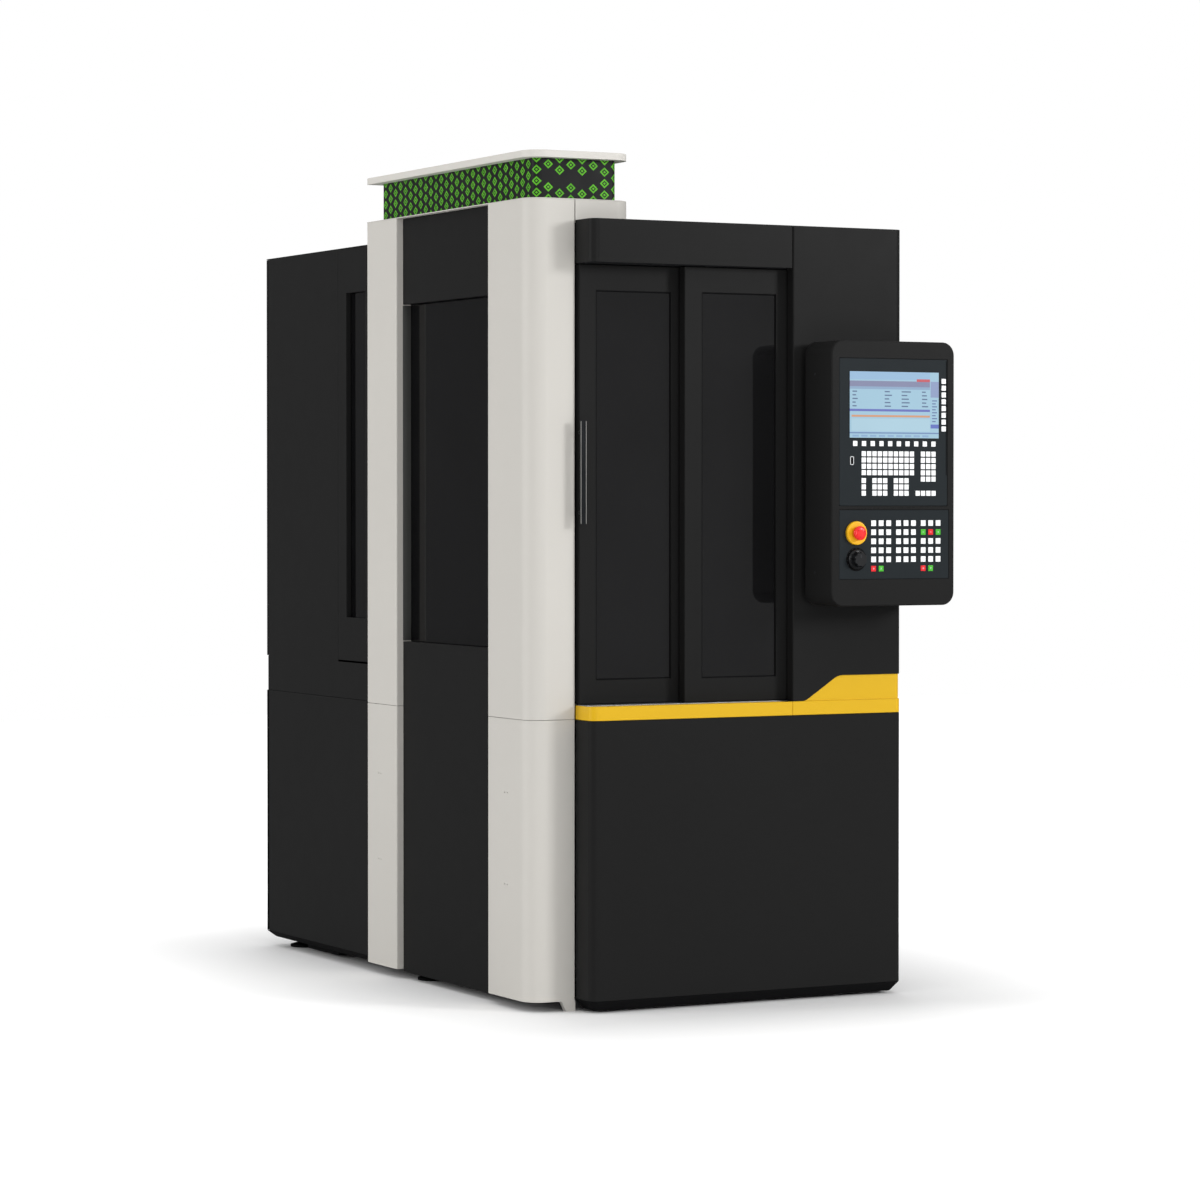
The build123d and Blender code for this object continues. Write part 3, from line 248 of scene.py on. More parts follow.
plasticValues = {
    "motorBlack": {"colour": tone(32, 33, 35), "drift": 0.85, "roughness": 0.5, "gloss": 0.15,
                   "grainSize": 2.0, "coat": 0.05, "grainStrength": 0.3},
    "keyWhite": {"colour": tone(243, 244, 245), "drift": 0.985, "roughness": 0.42, "gloss": 0.3,
                 "grainSize": 0.8, "coat": 0.1, "grainStrength": 0.1},
    "keyRed": {"colour": tone(222, 24, 30), "drift": 0.95, "roughness": 0.4, "gloss": 0.25,
               "grainSize": 0.8, "coat": 0.1, "grainStrength": 0.1},
    "keyGreen": {"colour": tone(68, 178, 38), "drift": 0.95, "roughness": 0.4, "gloss": 0.25,
                 "grainSize": 0.8, "coat": 0.1, "grainStrength": 0.1},
    "markDark": {"colour": tone(206, 209, 213), "drift": 0.95, "roughness": 0.5, "gloss": 0.15,
                 "grainSize": 0.8, "coat": 0.0, "grainStrength": 0.1},
    "markPale": {"colour": tone(222, 224, 226), "drift": 0.95, "roughness": 0.5, "gloss": 0.2,
                 "grainSize": 0.8, "coat": 0.0, "grainStrength": 0.1},
    "stopYellow": {"colour": tone(240, 182, 22), "drift": 0.97, "roughness": 0.4, "gloss": 0.25,
                   "grainSize": 1.2, "coat": 0.15, "grainStrength": 0.12},
    "stopRed": {"colour": tone(234, 34, 34), "drift": 0.93, "roughness": 0.3, "gloss": 0.3,
                "grainSize": 1.2, "coat": 0.3, "grainStrength": 0.08},
    "knobBlack": {"colour": tone(24, 25, 27), "drift": 0.85, "roughness": 0.42, "gloss": 0.15,
                  "grainSize": 0.9, "coat": 0.1, "grainStrength": 0.25},
    "tickGrey": {"colour": tone(62, 64, 67), "drift": 0.95, "roughness": 0.5, "gloss": 0.1,
                 "grainSize": 0.8, "coat": 0.0, "grainStrength": 0.1},
    "bevelHighlightGrey": {"colour": tone(138, 138, 135), "drift": 0.95, "roughness": 0.45, "gloss": 0.2,
                 "grainSize": 1.0, "coat": 0.0, "grainStrength": 0.1},
    "stopShade": {"colour": tone(186, 20, 24), "drift": 0.95, "roughness": 0.4, "gloss": 0.2,
                  "grainSize": 0.8, "coat": 0.1, "grainStrength": 0.1},
    "rubberBlack": {"colour": tone(14, 14, 15), "drift": 0.85, "roughness": 0.68, "gloss": 0.05,
                    "grainSize": 1.4, "coat": 0.0, "grainStrength": 0.3},
}
glassValues = {
    "tintedGlass": {"tint": tone(18, 18, 19), "clear": 0.2, "roughness": 0.025, "gloss": 0.8,
                    "filmScale": 5, "dust": 0.03},
    "sideGlass": {"tint": tone(13, 13, 14), "clear": 0.2, "roughness": 0.04, "gloss": 0.06,
                  "filmScale": 5, "dust": 0.03},
}
finishes = {}
for finishName, values in paintValues.items():
    finishes[finishName] = paintFinish(finishName, values)
for finishName, values in metalValues.items():
    finishes[finishName] = metalFinish(finishName, values)
for finishName, values in plasticValues.items():
    finishes[finishName] = plasticFinish(finishName, values)
for finishName, values in glassValues.items():
    finishes[finishName] = glassFinish(finishName, values)

# Sign print and screen picture

signValues = {"ground": tone(30, 30, 31), "line": tone(100, 186, 48), "lineDark": tone(84, 166, 40),
              "columnPitch": 32, "rowPitch": 29, "motifSize": 0.66, "lineWidth": 0.34, "dotSize": 0.24,
              "gloss": 0.1, "dull": 0.38, "duller": 0.5, "inkScale": 60, "sheenScale": 12,
              "filmScale": 700, "filmStrength": 0.1, "filmHeight": 0.08,
              "corner": 22, "bareLeft": 6, "bareRight": 20, "bareTop": 34, "bareBottom": 30}


def mathNode(tree, operation, first, second=None):
    node = tree.nodes.new("ShaderNodeMath")
    node.operation = operation
    for socket, value in zip(node.inputs, (first, second)):
        if value is None:
            continue
        if isinstance(value, (int, float)):
            socket.default_value = value
        else:
            tree.links.new(value, socket)
    return node.outputs["Value"]


def signFinish(values):
    # Small outlined lozenges in half-drop columns. The wrap layer runs along the sheet, in metres.
    finish, tree, shader = newFinish("signPrint")
    layer = tree.nodes.new("ShaderNodeUVMap")
    layer.uv_map = "wrap"
    parts = tree.nodes.new("ShaderNodeSeparateXYZ")
    tree.links.new(layer.outputs["UV"], parts.inputs["Vector"])
    column = mathNode(tree, "DIVIDE", parts.outputs["X"], mm(values["columnPitch"]))
    second = mathNode(tree, "FLOORED_MODULO", mathNode(tree, "FLOOR", column), 2)
    drop = mathNode(tree, "MULTIPLY", second, 0.5)
    row = mathNode(tree, "ADD", mathNode(tree, "DIVIDE", parts.outputs["Y"], mm(values["rowPitch"])), drop)
    across = mathNode(tree, "ABSOLUTE", mathNode(tree, "SUBTRACT", mathNode(tree, "FRACT", column), 0.5))
    along = mathNode(tree, "ABSOLUTE", mathNode(tree, "SUBTRACT", mathNode(tree, "FRACT", row), 0.5))
    reach = mathNode(tree, "ADD", mathNode(tree, "MULTIPLY", across, 2), mathNode(tree, "MULTIPLY", along, 2))
    outline = mathNode(tree, "LESS_THAN", mathNode(
        tree, "ABSOLUTE", mathNode(tree, "SUBTRACT", reach, values["motifSize"])), values["lineWidth"] / 2)
    dot = mathNode(tree, "LESS_THAN", reach, values["dotSize"])
    inked = mathNode(tree, "MAXIMUM", outline, dot)
    # Whole motifs are left out where the front stays bare.
    low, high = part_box("sign_box")
    front = high.x - low.x - 2 * mm(values["corner"])
    spotX = mathNode(tree, "MULTIPLY", mathNode(tree, "ADD", mathNode(tree, "FLOOR", column), 0.5),
                     mm(values["columnPitch"]))
    spotZ = mathNode(tree, "MULTIPLY", mathNode(tree, "SUBTRACT", mathNode(
        tree, "ADD", mathNode(tree, "FLOOR", row), 0.5), drop), mm(values["rowPitch"]))
    bare = mathNode(tree, "MULTIPLY", mathNode(tree, "GREATER_THAN", spotX, mm(values["bareRight"])),
                    mathNode(tree, "LESS_THAN", spotX, front - mm(values["bareLeft"])))
    bare = mathNode(tree, "MULTIPLY", bare, mathNode(tree, "GREATER_THAN", spotZ, mm(values["bareBottom"])))
    under = mathNode(tree, "LESS_THAN", spotZ, high.z - low.z - mm(values["bareTop"]))
    bare = mathNode(tree, "MULTIPLY", bare, under)
    inked = mathNode(tree, "MULTIPLY", inked, mathNode(tree, "SUBTRACT", 1, bare))
    plain = tree.nodes.new("ShaderNodeAttribute")
    plain.attribute_name = "printed"
    inked = mathNode(tree, "MULTIPLY", inked, plain.outputs["Fac"])
    ink = spread(tree, noiseAt(tree, values["inkScale"], 2.0), 0, 1)
    inkTint = blendTones(tree, ink, values["lineDark"], values["line"])
    tree.links.new(blendTones(tree, inked, values["ground"], inkTint), shader.inputs["Base Color"])
    rough = spread(tree, noiseAt(tree, values["sheenScale"], 2.0), values["dull"], values["duller"])
    tree.links.new(rough, shader.inputs["Roughness"])
    shader.inputs["Specular IOR Level"].default_value = values["gloss"]
    film = noiseAt(tree, values["filmScale"], 2.0)
    bumped(tree, shader, film, values["filmStrength"], mm(values["filmHeight"]))
    return finish


displayValues = {"glow": 0.92, "cover": (0.02, 0.022, 0.025, 1), "roughness": 0.22, "gloss": 0.15,
                 "glowScale": 9, "unevenness": 0.35, "dimSide": (0.8, 0.8, 0.82, 1)}


def screenFinish(values):
    # A lit display behind a glossy cover; the picture's colours lie on the faces.
    finish, tree, shader = newFinish("screenPicture")
    picture = tree.nodes.new("ShaderNodeAttribute")
    picture.attribute_name = "picture"
    glow = noiseAt(tree, values["glowScale"], 1.0)
    shaded = tree.nodes.new("ShaderNodeMix")
    shaded.data_type = "RGBA"
    shaded.blend_type = "MULTIPLY"
    shaded.inputs["Factor"].default_value = values["unevenness"]
    tree.links.new(picture.outputs["Color"], shaded.inputs["A"])
    tree.links.new(blendTones(tree, glow, values["dimSide"], (1, 1, 1, 1)), shaded.inputs["B"])
    shader.inputs["Base Color"].default_value = values["cover"]
    tree.links.new(shaded.outputs["Result"], shader.inputs["Emission Color"])
    shader.inputs["Emission Strength"].default_value = values["glow"]
    shader.inputs["Roughness"].default_value = values["roughness"]
    shader.inputs["Specular IOR Level"].default_value = values["gloss"]
    return finish


finishes["signPrint"] = signFinish(signValues)
finishes["screenPicture"] = screenFinish(displayValues)

# Which finish each paint or metal of the record gets.
slotFinishes = {
    "black_paint": "blackPaint", "dark_base": "darkBase", "yellow_paint": "yellowPaint",
    "grey_paint": "greyPaint", "white_paint": "whitePaint", "sign_panel": "signPrint",
    "tinted_glass": "tintedGlass",
    "dark_aluminium": "darkAluminium", "rail_aluminium": "railAluminium", "zinc_steel": "zincSteel",
    "liner_steel": "linerSteel", "cast_paint": "castPaint", "ground_iron": "groundIron",
    "ground_steel": "groundSteel", "motor_black": "motorBlack", "magazine_grey": "magazineGrey",
    "fascia_grey": "fasciaGrey", "screen_glass": "panelBlack", "key_white": "keyWhite",
    "stop_yellow": "stopYellow", "stop_red": "stopRed", "knob_black": "knobBlack",
}
slotOf = {entry["node"]: entry["material_slot"] for entry in frame["record"]["subparts"]}
for nodeName, node in frame["nodes"].items():
    for holder in node.material_slots:
        holder.material = finishes[slotFinishes[slotOf[nodeName]]]
print("materials:", len(finishes))

# Making pieces


def placed(name, shape, finish, body):
    # Ends a piece: a mesh from the shape, at the origin, with its finish, body and slot.
    mesh = bpy.data.meshes.new(name)
    shape.to_mesh(mesh)
    shape.free()
    piece = bpy.data.objects.new(name, mesh)
    bpy.context.scene.collection.objects.link(piece)
    mesh.materials.append(finishes[finish])
    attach(piece, body)
    return piece


def smoothed(piece, angle=35):
    for face in piece.data.polygons:
        face.use_smooth = True
    piece.data.set_sharp_from_angle(angle=math.radians(angle))
    return piece


def eased(piece, width, segments=2):
    # Rounds the crisp edges of a sheet metal or moulded piece.
    rounding = piece.modifiers.new("edges", "BEVEL")
    rounding.width = mm(width)
    rounding.segments = segments
    rounding.limit_method = "ANGLE"
    rounding.angle_limit = math.radians(40)
    rounding.harden_normals = True
    rounding.miter_outer = "MITER_ARC"
    return piece


def evened(piece):
    # Keeps the shading of wide flat faces even beside narrow rounded edges.
    evening = piece.modifiers.new("evening", "WEIGHTED_NORMAL")
    evening.keep_sharp = True
    evening.weight = 100
    return piece


def box(shape, x0, x1, y0, y1, z0, z1):
    size = Matrix.Diagonal((mm(x1 - x0), mm(y1 - y0), mm(z1 - z0), 1))
    middle = Matrix.Translation(at((x0 + x1) / 2, (y0 + y1) / 2, (z0 + z1) / 2))
    return bmesh.ops.create_cube(shape, size=1, matrix=middle @ size)["verts"]


def rounded(shape, width, segments=2):
    # Bevels every edge of a shape, in millimetres.
    bmesh.ops.bevel(shape, geom=shape.edges[:], offset=mm(width), segments=segments, profile=0.5,
                    affect="EDGES", material=-1)


def bodyOf(nodeName):
    return frame["nodes"][nodeName]["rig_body"]


def cadShape(nodeName):
    # A merged copy of a node's mesh, with its flat faces joined again.
    shape = bmesh.new()
    shape.from_mesh(frame["nodes"][nodeName].data)
    bmesh.ops.remove_doubles(shape, verts=shape.verts, dist=mm(0.01))
    bmesh.ops.dissolve_limit(shape, angle_limit=math.radians(0.6), verts=shape.verts, edges=shape.edges,
                             delimit={"NORMAL"})
    return shape


def dressed(nodeName, width, segments=2, finish=None, angle=35, change=None):
    shape = cadShape(nodeName)
    if change:
        change(shape)
    slot = slotOf[nodeName]
    piece = placed(nodeName + "_skin", shape, finish or slotFinishes[slot], bodyOf(nodeName))
    smoothed(piece, angle)
    if width:
        eased(piece, width, segments)
    evened(piece)
    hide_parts(nodeName)
    return piece


# Sheet metal and castings that carry their edges over from the frame

# Edge rounding in millimetres.
edgeValues = {
    "front_lower_panel": 1.2, "front_plinth": 0.8, "front_header": 1.2, "front_fixed_panel": 1.2,
    "accent_strip_left": 0.8, "accent_strip_right": 0.8, "front_column_upper": 1.0, "front_column_lower": 1.0,
    "rear_column_upper": 1.0, "rear_column_lower": 1.0, "panel_above_window": 0.8, "panel_below_window": 0.8,
    "tower_back_cover": 0.8, "tower_top_plate": 0.8, "sign_lid": 1.6, "magazine_door": 1.2,
    "rear_left_upper_panel": 1.0, "rear_left_lower_panel": 1.0, "right_upper_panel": 1.0,
    "right_lower_panel": 1.0,
    "rear_plinth": 0.8, "rear_lower_cover": 1.0, "rear_upper_door": 1.2, "cabinet_roof": 1.0,
    "front_leaf_frame": 1.0, "rear_leaf_frame": 1.0,
    "levelling_feet": 1.0, "front_leaf_glass": 0.8, "rear_leaf_glass": 0.8, "side_window_glass": 0.8,
    "magazine_door_glass": 0.8, "operator_fascia": 0.8, "machine_fascia": 0.8, "stop_ring": 0.8,
    "saddle": 1.5, "work_table": 0.8, "spindle_head": 3.0, "bed_casting": 3.0, "column_casting": 4.0,
    "spindle": 0.6, "spindle_motor": 2.0, "magazine_carriage": 1.0, "magazine_beam": 1.0, "tool_disc": 0.8,
    "tool_holders": 0.4, "coolant_tank": 1.5, "chamber_walls": 0.6, "chamber_floor": 0.6,
    "door_track_lower": 0.5, "door_track_upper": 0.5, "electrical_plate": 0.6, "base_frame": 1.5,
}
# Nodes that wear another finish than their slot has.
# The upper door track wears black instead of its aluminium: a painted shadow under the header.
otherFinishes = {"door_track_upper": "motorBlack", "levelling_feet": "rubberBlack",
                 "side_window_glass": "sideGlass", "magazine_door_glass": "sideGlass",
                 # The plinths wear the darker base black instead of their black paint: a painted shade on
                 # their low chamfers.
                 "front_plinth": "darkBase", "rear_plinth": "darkBase"}
for nodeName, width in edgeValues.items():
    dressed(nodeName, width, finish=otherFinishes.get(nodeName))
print("dressed nodes:", len(edgeValues))

# Sign print round the sign box


def wrapLength(point, centre, low, high, corner):
    # How far round the sign a point lies, in metres, from the front right corner to the left and back.
    inner = Vector((min(max(point.x, low.x + corner), high.x - corner),
                    min(max(point.y, low.y + corner), high.y - corner)))
    reach = Vector((point.x, point.y)) - inner
    front = high.x - low.x - 2 * corner
    side = high.y - low.y - 2 * corner
    arc = corner * math.pi / 2
    angle = math.atan2(-reach.x, -reach.y)
    if centre.x > high.x - corner / 2:
        turned = math.atan2(reach.x, -reach.y)
        return -corner * turned - (inner.y - low.y - corner)
    if centre.y < low.y + corner / 2 and centre.x > low.x + corner / 2:
        return high.x - corner - inner.x + corner * angle
    if centre.y > high.y - corner / 2 and centre.x > low.x + corner / 2:
        return front + arc + side + arc + inner.x - low.x - corner
    return front + corner * angle + (inner.y - low.y - corner)


def signSheet(values):
    shape = cadShape("sign_box")
    low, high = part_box("sign_box")
    corner = mm(values["corner"])
    wrap = shape.loops.layers.uv.new("wrap")
    printed = shape.faces.layers.float.new("printed")
    shape.normal_update()
    for face in shape.faces:
        middle = face.calc_center_median()
        face[printed] = 0.0 if abs(face.normal.z) > 0.9 else 1.0
        for loop in face.loops:
            point = loop.vert.co
            loop[wrap].uv = (wrapLength(point, middle, low, high, corner), point.z - low.z)
    piece = placed("sign_sheet", shape, "signPrint", bodyOf("sign_box"))
    smoothed(piece, 35)
    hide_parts("sign_box")
    return piece


signSheet(signValues)
print("sign")

# Screen

# Each field of the made-up screen: left, right, bottom and top as shares of the picture, then its colour.
screenValues = {
    "margin": 1.0,
    "fields": [
        (0, 1, 0, 1, tone(170, 208, 228)),
        (0, 0.9, 0.88, 1, tone(160, 196, 228)),
        (0, 0.9, 0.775, 0.86, tone(140, 144, 176)),
        (0, 0.9, 0.735, 0.775, tone(150, 178, 208)),
        (0.75, 0.9, 0.855, 0.895, tone(212, 92, 100)),
        (0, 0.9, 0.4, 0.435, tone(110, 118, 196)),
        (0.02, 0.9, 0.315, 0.345, tone(222, 160, 122)),
        (0.02, 0.9, 0.1, 0.29, tone(182, 216, 232)),
        (0, 1, 0.065, 0.085, tone(122, 148, 192)),
        (0.908, 1, 0.62, 0.86, tone(150, 166, 205)),
        (0.908, 1, 0.15, 0.21, tone(104, 120, 200)),
    ],
    # The start and length of the readings in a row, and how their lengths vary.
    "readings": ((0.03, 0.05), (0.39, 0.07), (0.58, 0.09), (0.81, 0.06)),
    "lengthShares": (1.0, 0.8, 1.15, 0.7, 0.9),
    "rows": 5, "rowTop": 0.7, "rowPitch": 0.055, "barHeight": 0.018, "barColour": tone(96, 116, 150),
    "menuRows": 8, "menuLeft": 0.925, "menuTop": 0.57, "menuPitch": 0.045, "menuLengths": (0.055, 0.04),
    "menuHeight": 0.016, "menuColour": tone(104, 120, 170),
    "softKeys": 9, "softLeft": 0.03, "softPitch": 0.098, "softLength": 0.07, "softBottom": 0.015,
    "softTop": 0.045, "softColour": tone(150, 184, 220),
    "layer": 0.02, "layerStart": 0.06, "layerCount": 12,
}


def tinted(verts, layer, colour):
    for face in {face for vert in verts for face in vert.link_faces}:
        for loop in face.loops:
            loop[layer] = colour


def screenPicture(values):
    low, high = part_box("screen")
    shape = bmesh.new()
    layer = shape.loops.layers.float_color.new("picture")
    width = high.x - low.x - 2 * mm(values["margin"])
    height = high.z - low.z - 2 * mm(values["margin"])
    left = low.x + mm(values["margin"])
    bottom = low.z + mm(values["margin"])
    fields = list(values["fields"])
    # Rows of short bars stand for the readings, and more bars for the side menu and the keys below.
    half = values["barHeight"] / 2
    for row in range(values["rows"]):
        z = values["rowTop"] - row * values["rowPitch"]
        for column, (start, length) in enumerate(values["readings"]):
            reach = length * values["lengthShares"][(row + column) % 5]
            fields.append((start, start + reach, z - half, z + half, values["barColour"]))
    half = values["menuHeight"] / 2
    for row in range(values["menuRows"]):
        z = values["menuTop"] - row * values["menuPitch"]
        reach = values["menuLeft"] + values["menuLengths"][row % 2]
        fields.append((values["menuLeft"], reach, z - half, z + half, values["menuColour"]))
    for column in range(values["softKeys"]):
        x = values["softLeft"] + column * values["softPitch"]
        reach = x + values["softLength"]
        fields.append((x, reach, values["softBottom"], values["softTop"], values["softColour"]))
    # Later fields stand a little prouder, so that they cover the ones below.
    for step, (x0, x1, z0, z1, colour) in enumerate(fields):
        thick = mm(values["layerStart"] + values["layer"] * min(step, values["layerCount"]))
        size = Matrix.Diagonal((width * (x1 - x0), thick, height * (z1 - z0), 1))
        middle = Vector((left + width * (x0 + x1) / 2, low.y - thick / 2, bottom + height * (z0 + z1) / 2))
        verts = bmesh.ops.create_cube(shape, size=1, matrix=Matrix.Translation(middle) @ size)["verts"]
        tinted(verts, layer, colour)
    return placed("screen_picture", shape, "screenPicture", bodyOf("screen"))


dressed("screen", 0.4)
screenPicture(screenValues)

# Keys

# The coloured keys of the lower panel, counted as column and row from its top left.
keyValues = {"edge": 0.7, "markSize": 4.2, "markWidth": 0.9, "markProud": 0.12,
             "red": [(7, 1), (0, 5), (6, 5)], "green": [(6, 1), (8, 1), (1, 5), (7, 5)],
             "groupX": 727.8, "groupPitch": 74.9, "pitch": 22.6, "topZ": 1231.6, "rowPitch": 23.1,
             "lastRowZ": 1115.5, "near": 5}
# The signs on the keys: the bars of each, with their place and their reach across and up.
markShapes = (
    ((0, 0, 1, 0),),
    ((0, 0.25, 1, 0), (0, -0.25, 0.6, 0)),
    ((0, 0, 0, 1), (0, 0, 1, 0)),
    ((-0.28, 0, 0, 0.8), (0.28, 0, 0, 0.8)),
    ((0, 0.35, 0.9, 0), (0, 0, 0.5, 0), (0, -0.35, 0.9, 0)),
)


def islands(shape):
    # The separate solids of a shape, each as a list of vertices.
    left = set(shape.verts)
    found = []
    while left:
        start = left.pop()
        group = [start]
        queue = [start]
        while queue:
            vert = queue.pop()
            for edge in vert.link_edges:
                other = edge.other_vert(vert)
                if other in left:
                    left.remove(other)
                    group.append(other)
                    queue.append(other)
        found.append(group)
    return found


def middleOf(verts):
    low = Vector([min(v.co[k] for v in verts) for k in range(3)])
    high = Vector([max(v.co[k] for v in verts) for k in range(3)])
    return (low + high) / 2, low.y


def lowerKeyPlace(column, row, values):
    x = values["groupX"] + (column // 3) * values["groupPitch"] + (column % 3) * values["pitch"]
    z = values["lastRowZ"] if row == 5 else values["topZ"] - row * values["rowPitch"]
    return at(x, 0, z)


def nearAny(point, places, reach):
    return any(math.hypot(point.x - place.x, point.z - place.z) < reach for place in places)


def keyCaps(values):
    places = {"red_keys": [lowerKeyPlace(c, r, values) for c, r in values["red"]],
              "green_keys": [lowerKeyPlace(c, r, values) for c, r in values["green"]]}
    marks = bmesh.new()
    for name, finish in (("white_keys", "keyWhite"), ("red_keys", "keyRed"), ("green_keys", "keyGreen")):
        shape = cadShape("panel_keys")
        away = []
        kept = []
        for group in islands(shape):
            middle, face = middleOf(group)
            colour = [key for key, spots in places.items() if nearAny(middle, spots, mm(values["near"]))]
            if (colour[0] if colour else "white_keys") == name:
                kept.append((middle, face))
            else:
                away.extend(group)
        bmesh.ops.delete(shape, geom=away, context="VERTS")
        piece = placed(name, shape, finish, bodyOf("panel_keys"))
        smoothed(piece, 35)
        eased(piece, values["edge"])
        if name == "white_keys":
            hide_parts("panel_keys")
        kept.sort(key=lambda entry: (round(-entry[0].z, 3), round(entry[0].x, 3)))
        for count, (middle, face) in enumerate(kept):
            keyMark(marks, middle, face, count, values)
    placed("key_marks", marks, "markDark", bodyOf("panel_keys"))


def keyMark(shape, middle, face, count, values):
    # A plain sign of one to three short bars, different from key to key.
    reach = mm(values["markSize"])
    width = mm(values["markWidth"])
    for x, z, across, up in markShapes[(count * 7 + count // 5) % 5]:
        size = (max(across * reach, width), mm(values["markProud"]) * 2, max(up * reach, width))
        spot = Vector((middle.x + x * reach, face, middle.z + z * reach))
        bmesh.ops.create_cube(shape, size=1, matrix=Matrix.Translation(spot) @ Matrix.Diagonal((*size, 1)))


keyCaps(keyValues)

# Stop button and override knob

stopValues = {"headWidth": 0.9, "headDepth": 0.54, "press": 6, "spare": 0.4, "edge": 1.2,
              "arrowCount": 3, "arrowTurn": 20, "arrowReach": 10, "arrowSize": 2.6, "arrowDepth": 0.3}


def stopButton(values):
    low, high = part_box("stop_button")
    middle = (low + high) / 2
    # The rim of the head stands off the ring by the press and a little spare, so it comes down clear of it.
    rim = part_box("stop_ring")[0].y - mm(values["press"])

    def flattened(head):
        for vert in head.verts:
            vert.co.x = middle.x + (vert.co.x - middle.x) * values["headWidth"]
            vert.co.z = middle.z + (vert.co.z - middle.z) * values["headWidth"]
            if vert.co.y < rim + mm(0.1):
                vert.co.y = rim - mm(values["spare"]) + (vert.co.y - rim) * values["headDepth"]

    dressed("stop_button", values["edge"], 4, angle=50, change=flattened)
    face = rim - mm(values["spare"]) + (low.y - rim) * values["headDepth"]
    shape = bmesh.new()
    # Small turn arrows on the head, as plain wedges.
    reach = mm(values["arrowReach"])
    size = mm(values["arrowSize"])
    for step in range(values["arrowCount"]):
        angle = math.radians(360 / values["arrowCount"] * step + values["arrowTurn"])
        spot = Vector((middle.x + math.cos(angle) * reach, face, middle.z + math.sin(angle) * reach))
        turn = Matrix.Rotation(-angle, 4, "Y") @ Matrix.Rotation(math.radians(90), 4, "X")
        bmesh.ops.create_cone(shape, cap_ends=True, segments=3, radius1=size, radius2=size,
                              depth=mm(values["arrowDepth"]), matrix=Matrix.Translation(spot) @ turn)
    placed("stop_arrows", shape, "stopShade", bodyOf("stop_button"))


stopButton(stopValues)

knobValues = {"edge": 0.8, "plateRadius": 30, "plateDepth": 0.2, "tickCount": 11, "tickSpan": 240,
              "tickStart": 26, "tickLength": 2.2, "tickWidth": 0.9, "tickProud": 0.1, "longEvery": 5,
              "longShare": 1.4,
              "pointerStart": 4, "pointerLength": 8, "pointerWidth": 1.6, "pointerProud": 0.15}


def overrideKnob(values):
    # The knob itself, the plate behind it with its ticks, and the pointer on its face.
    dressed("override_knob", values["edge"])
    low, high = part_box("override_knob")
    middle = (low + high) / 2
    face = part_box("machine_fascia")[0].y
    plate = bmesh.new()
    depth = mm(values["plateDepth"])
    radius = mm(values["plateRadius"])
    spot = Matrix.Translation((middle.x, face - depth / 2, middle.z))
    bmesh.ops.create_cone(plate, cap_ends=True, segments=64, radius1=radius, radius2=radius, depth=depth,
                          matrix=spot @ Matrix.Rotation(math.radians(90), 4, "X"))
    smoothed(placed("knob_plate", plate, "rubberBlack", "frame"))
    shape = bmesh.new()
    step = values["tickSpan"] / (values["tickCount"] - 1)
    for count in range(values["tickCount"]):
        angle = math.radians(90 + values["tickSpan"] / 2 - count * step)
        length = mm(values["tickLength"] * (values["longShare"] if count % values["longEvery"] == 0 else 1))
        reach = mm(values["tickStart"]) + length / 2
        spot = Vector((middle.x + math.cos(angle) * reach, face - depth, middle.z + math.sin(angle) * reach))
        size = Matrix.Diagonal((length, mm(values["tickProud"] * 2), mm(values["tickWidth"]), 1))
        place = Matrix.Translation(spot) @ Matrix.Rotation(-angle, 4, "Y")
        bmesh.ops.create_cube(shape, size=1, matrix=place @ size)
    placed("knob_ticks", shape, "tickGrey", "frame")
    pointer = bmesh.new()
    reach = mm(values["pointerLength"])
    spot = Vector((middle.x, low.y, middle.z + reach / 2 + mm(values["pointerStart"])))
    size = Matrix.Diagonal((mm(values["pointerWidth"]), mm(values["pointerProud"] * 2), reach, 1))
    bmesh.ops.create_cube(pointer, size=1, matrix=Matrix.Translation(spot) @ size)
    placed("knob_pointer", pointer, "tickGrey", bodyOf("override_knob"))


overrideKnob(knobValues)
print("control unit")

# Door handle

handleValues = {"edge": 1.2, "left": -3, "right": 14, "reach": 0.56, "stripWidth": 1.6, "stripProud": 0.2,
                "stripInset": 0.4, "stripEnds": 2, "stripRound": 0.12}


def doorHandle(values):
    low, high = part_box("door_handle")
    left = at(values["left"], 0, 0).x
    right = at(values["right"], 0, 0).x
    front = high.y + (low.y - high.y) * values["reach"]

    def broader(bar):
        # A broader bar that stands nearer to the leaf.
        for vert in bar.verts:
            vert.co.x = left + (vert.co.x - low.x) * (right - left) / (high.x - low.x)
            vert.co.y = high.y + (vert.co.y - high.y) * values["reach"]

    dressed("door_handle", values["edge"], finish="handleBlack", change=broader)
    # Two pale strips run along the bar's front edges: its machined bevels, with a painted highlight on them.
    shape = bmesh.new()
    inset = mm(values["stripWidth"] / 2 + values["stripInset"])
    length = high.z - low.z - mm(values["stripEnds"] * 2)
    size = Matrix.Diagonal((mm(values["stripWidth"]), mm(values["stripProud"] * 2), length, 1))
    for x in (left + inset, right - inset):
        spot = Matrix.Translation((x, front, (low.z + high.z) / 2))
        bmesh.ops.create_cube(shape, size=1, matrix=spot @ size)
    rounded(shape, values["stripRound"])
    smoothed(placed("handle_bevels_and_highlights", shape, "bevelHighlightGrey", bodyOf("door_handle")))


doorHandle(handleValues)

# Control unit: the housing and its closing plate, with fuller corners

housingValues = {"edge": 2.0, "plateEdge": 1.5, "cadCorner": 25, "corner": 34, "inner": 2}


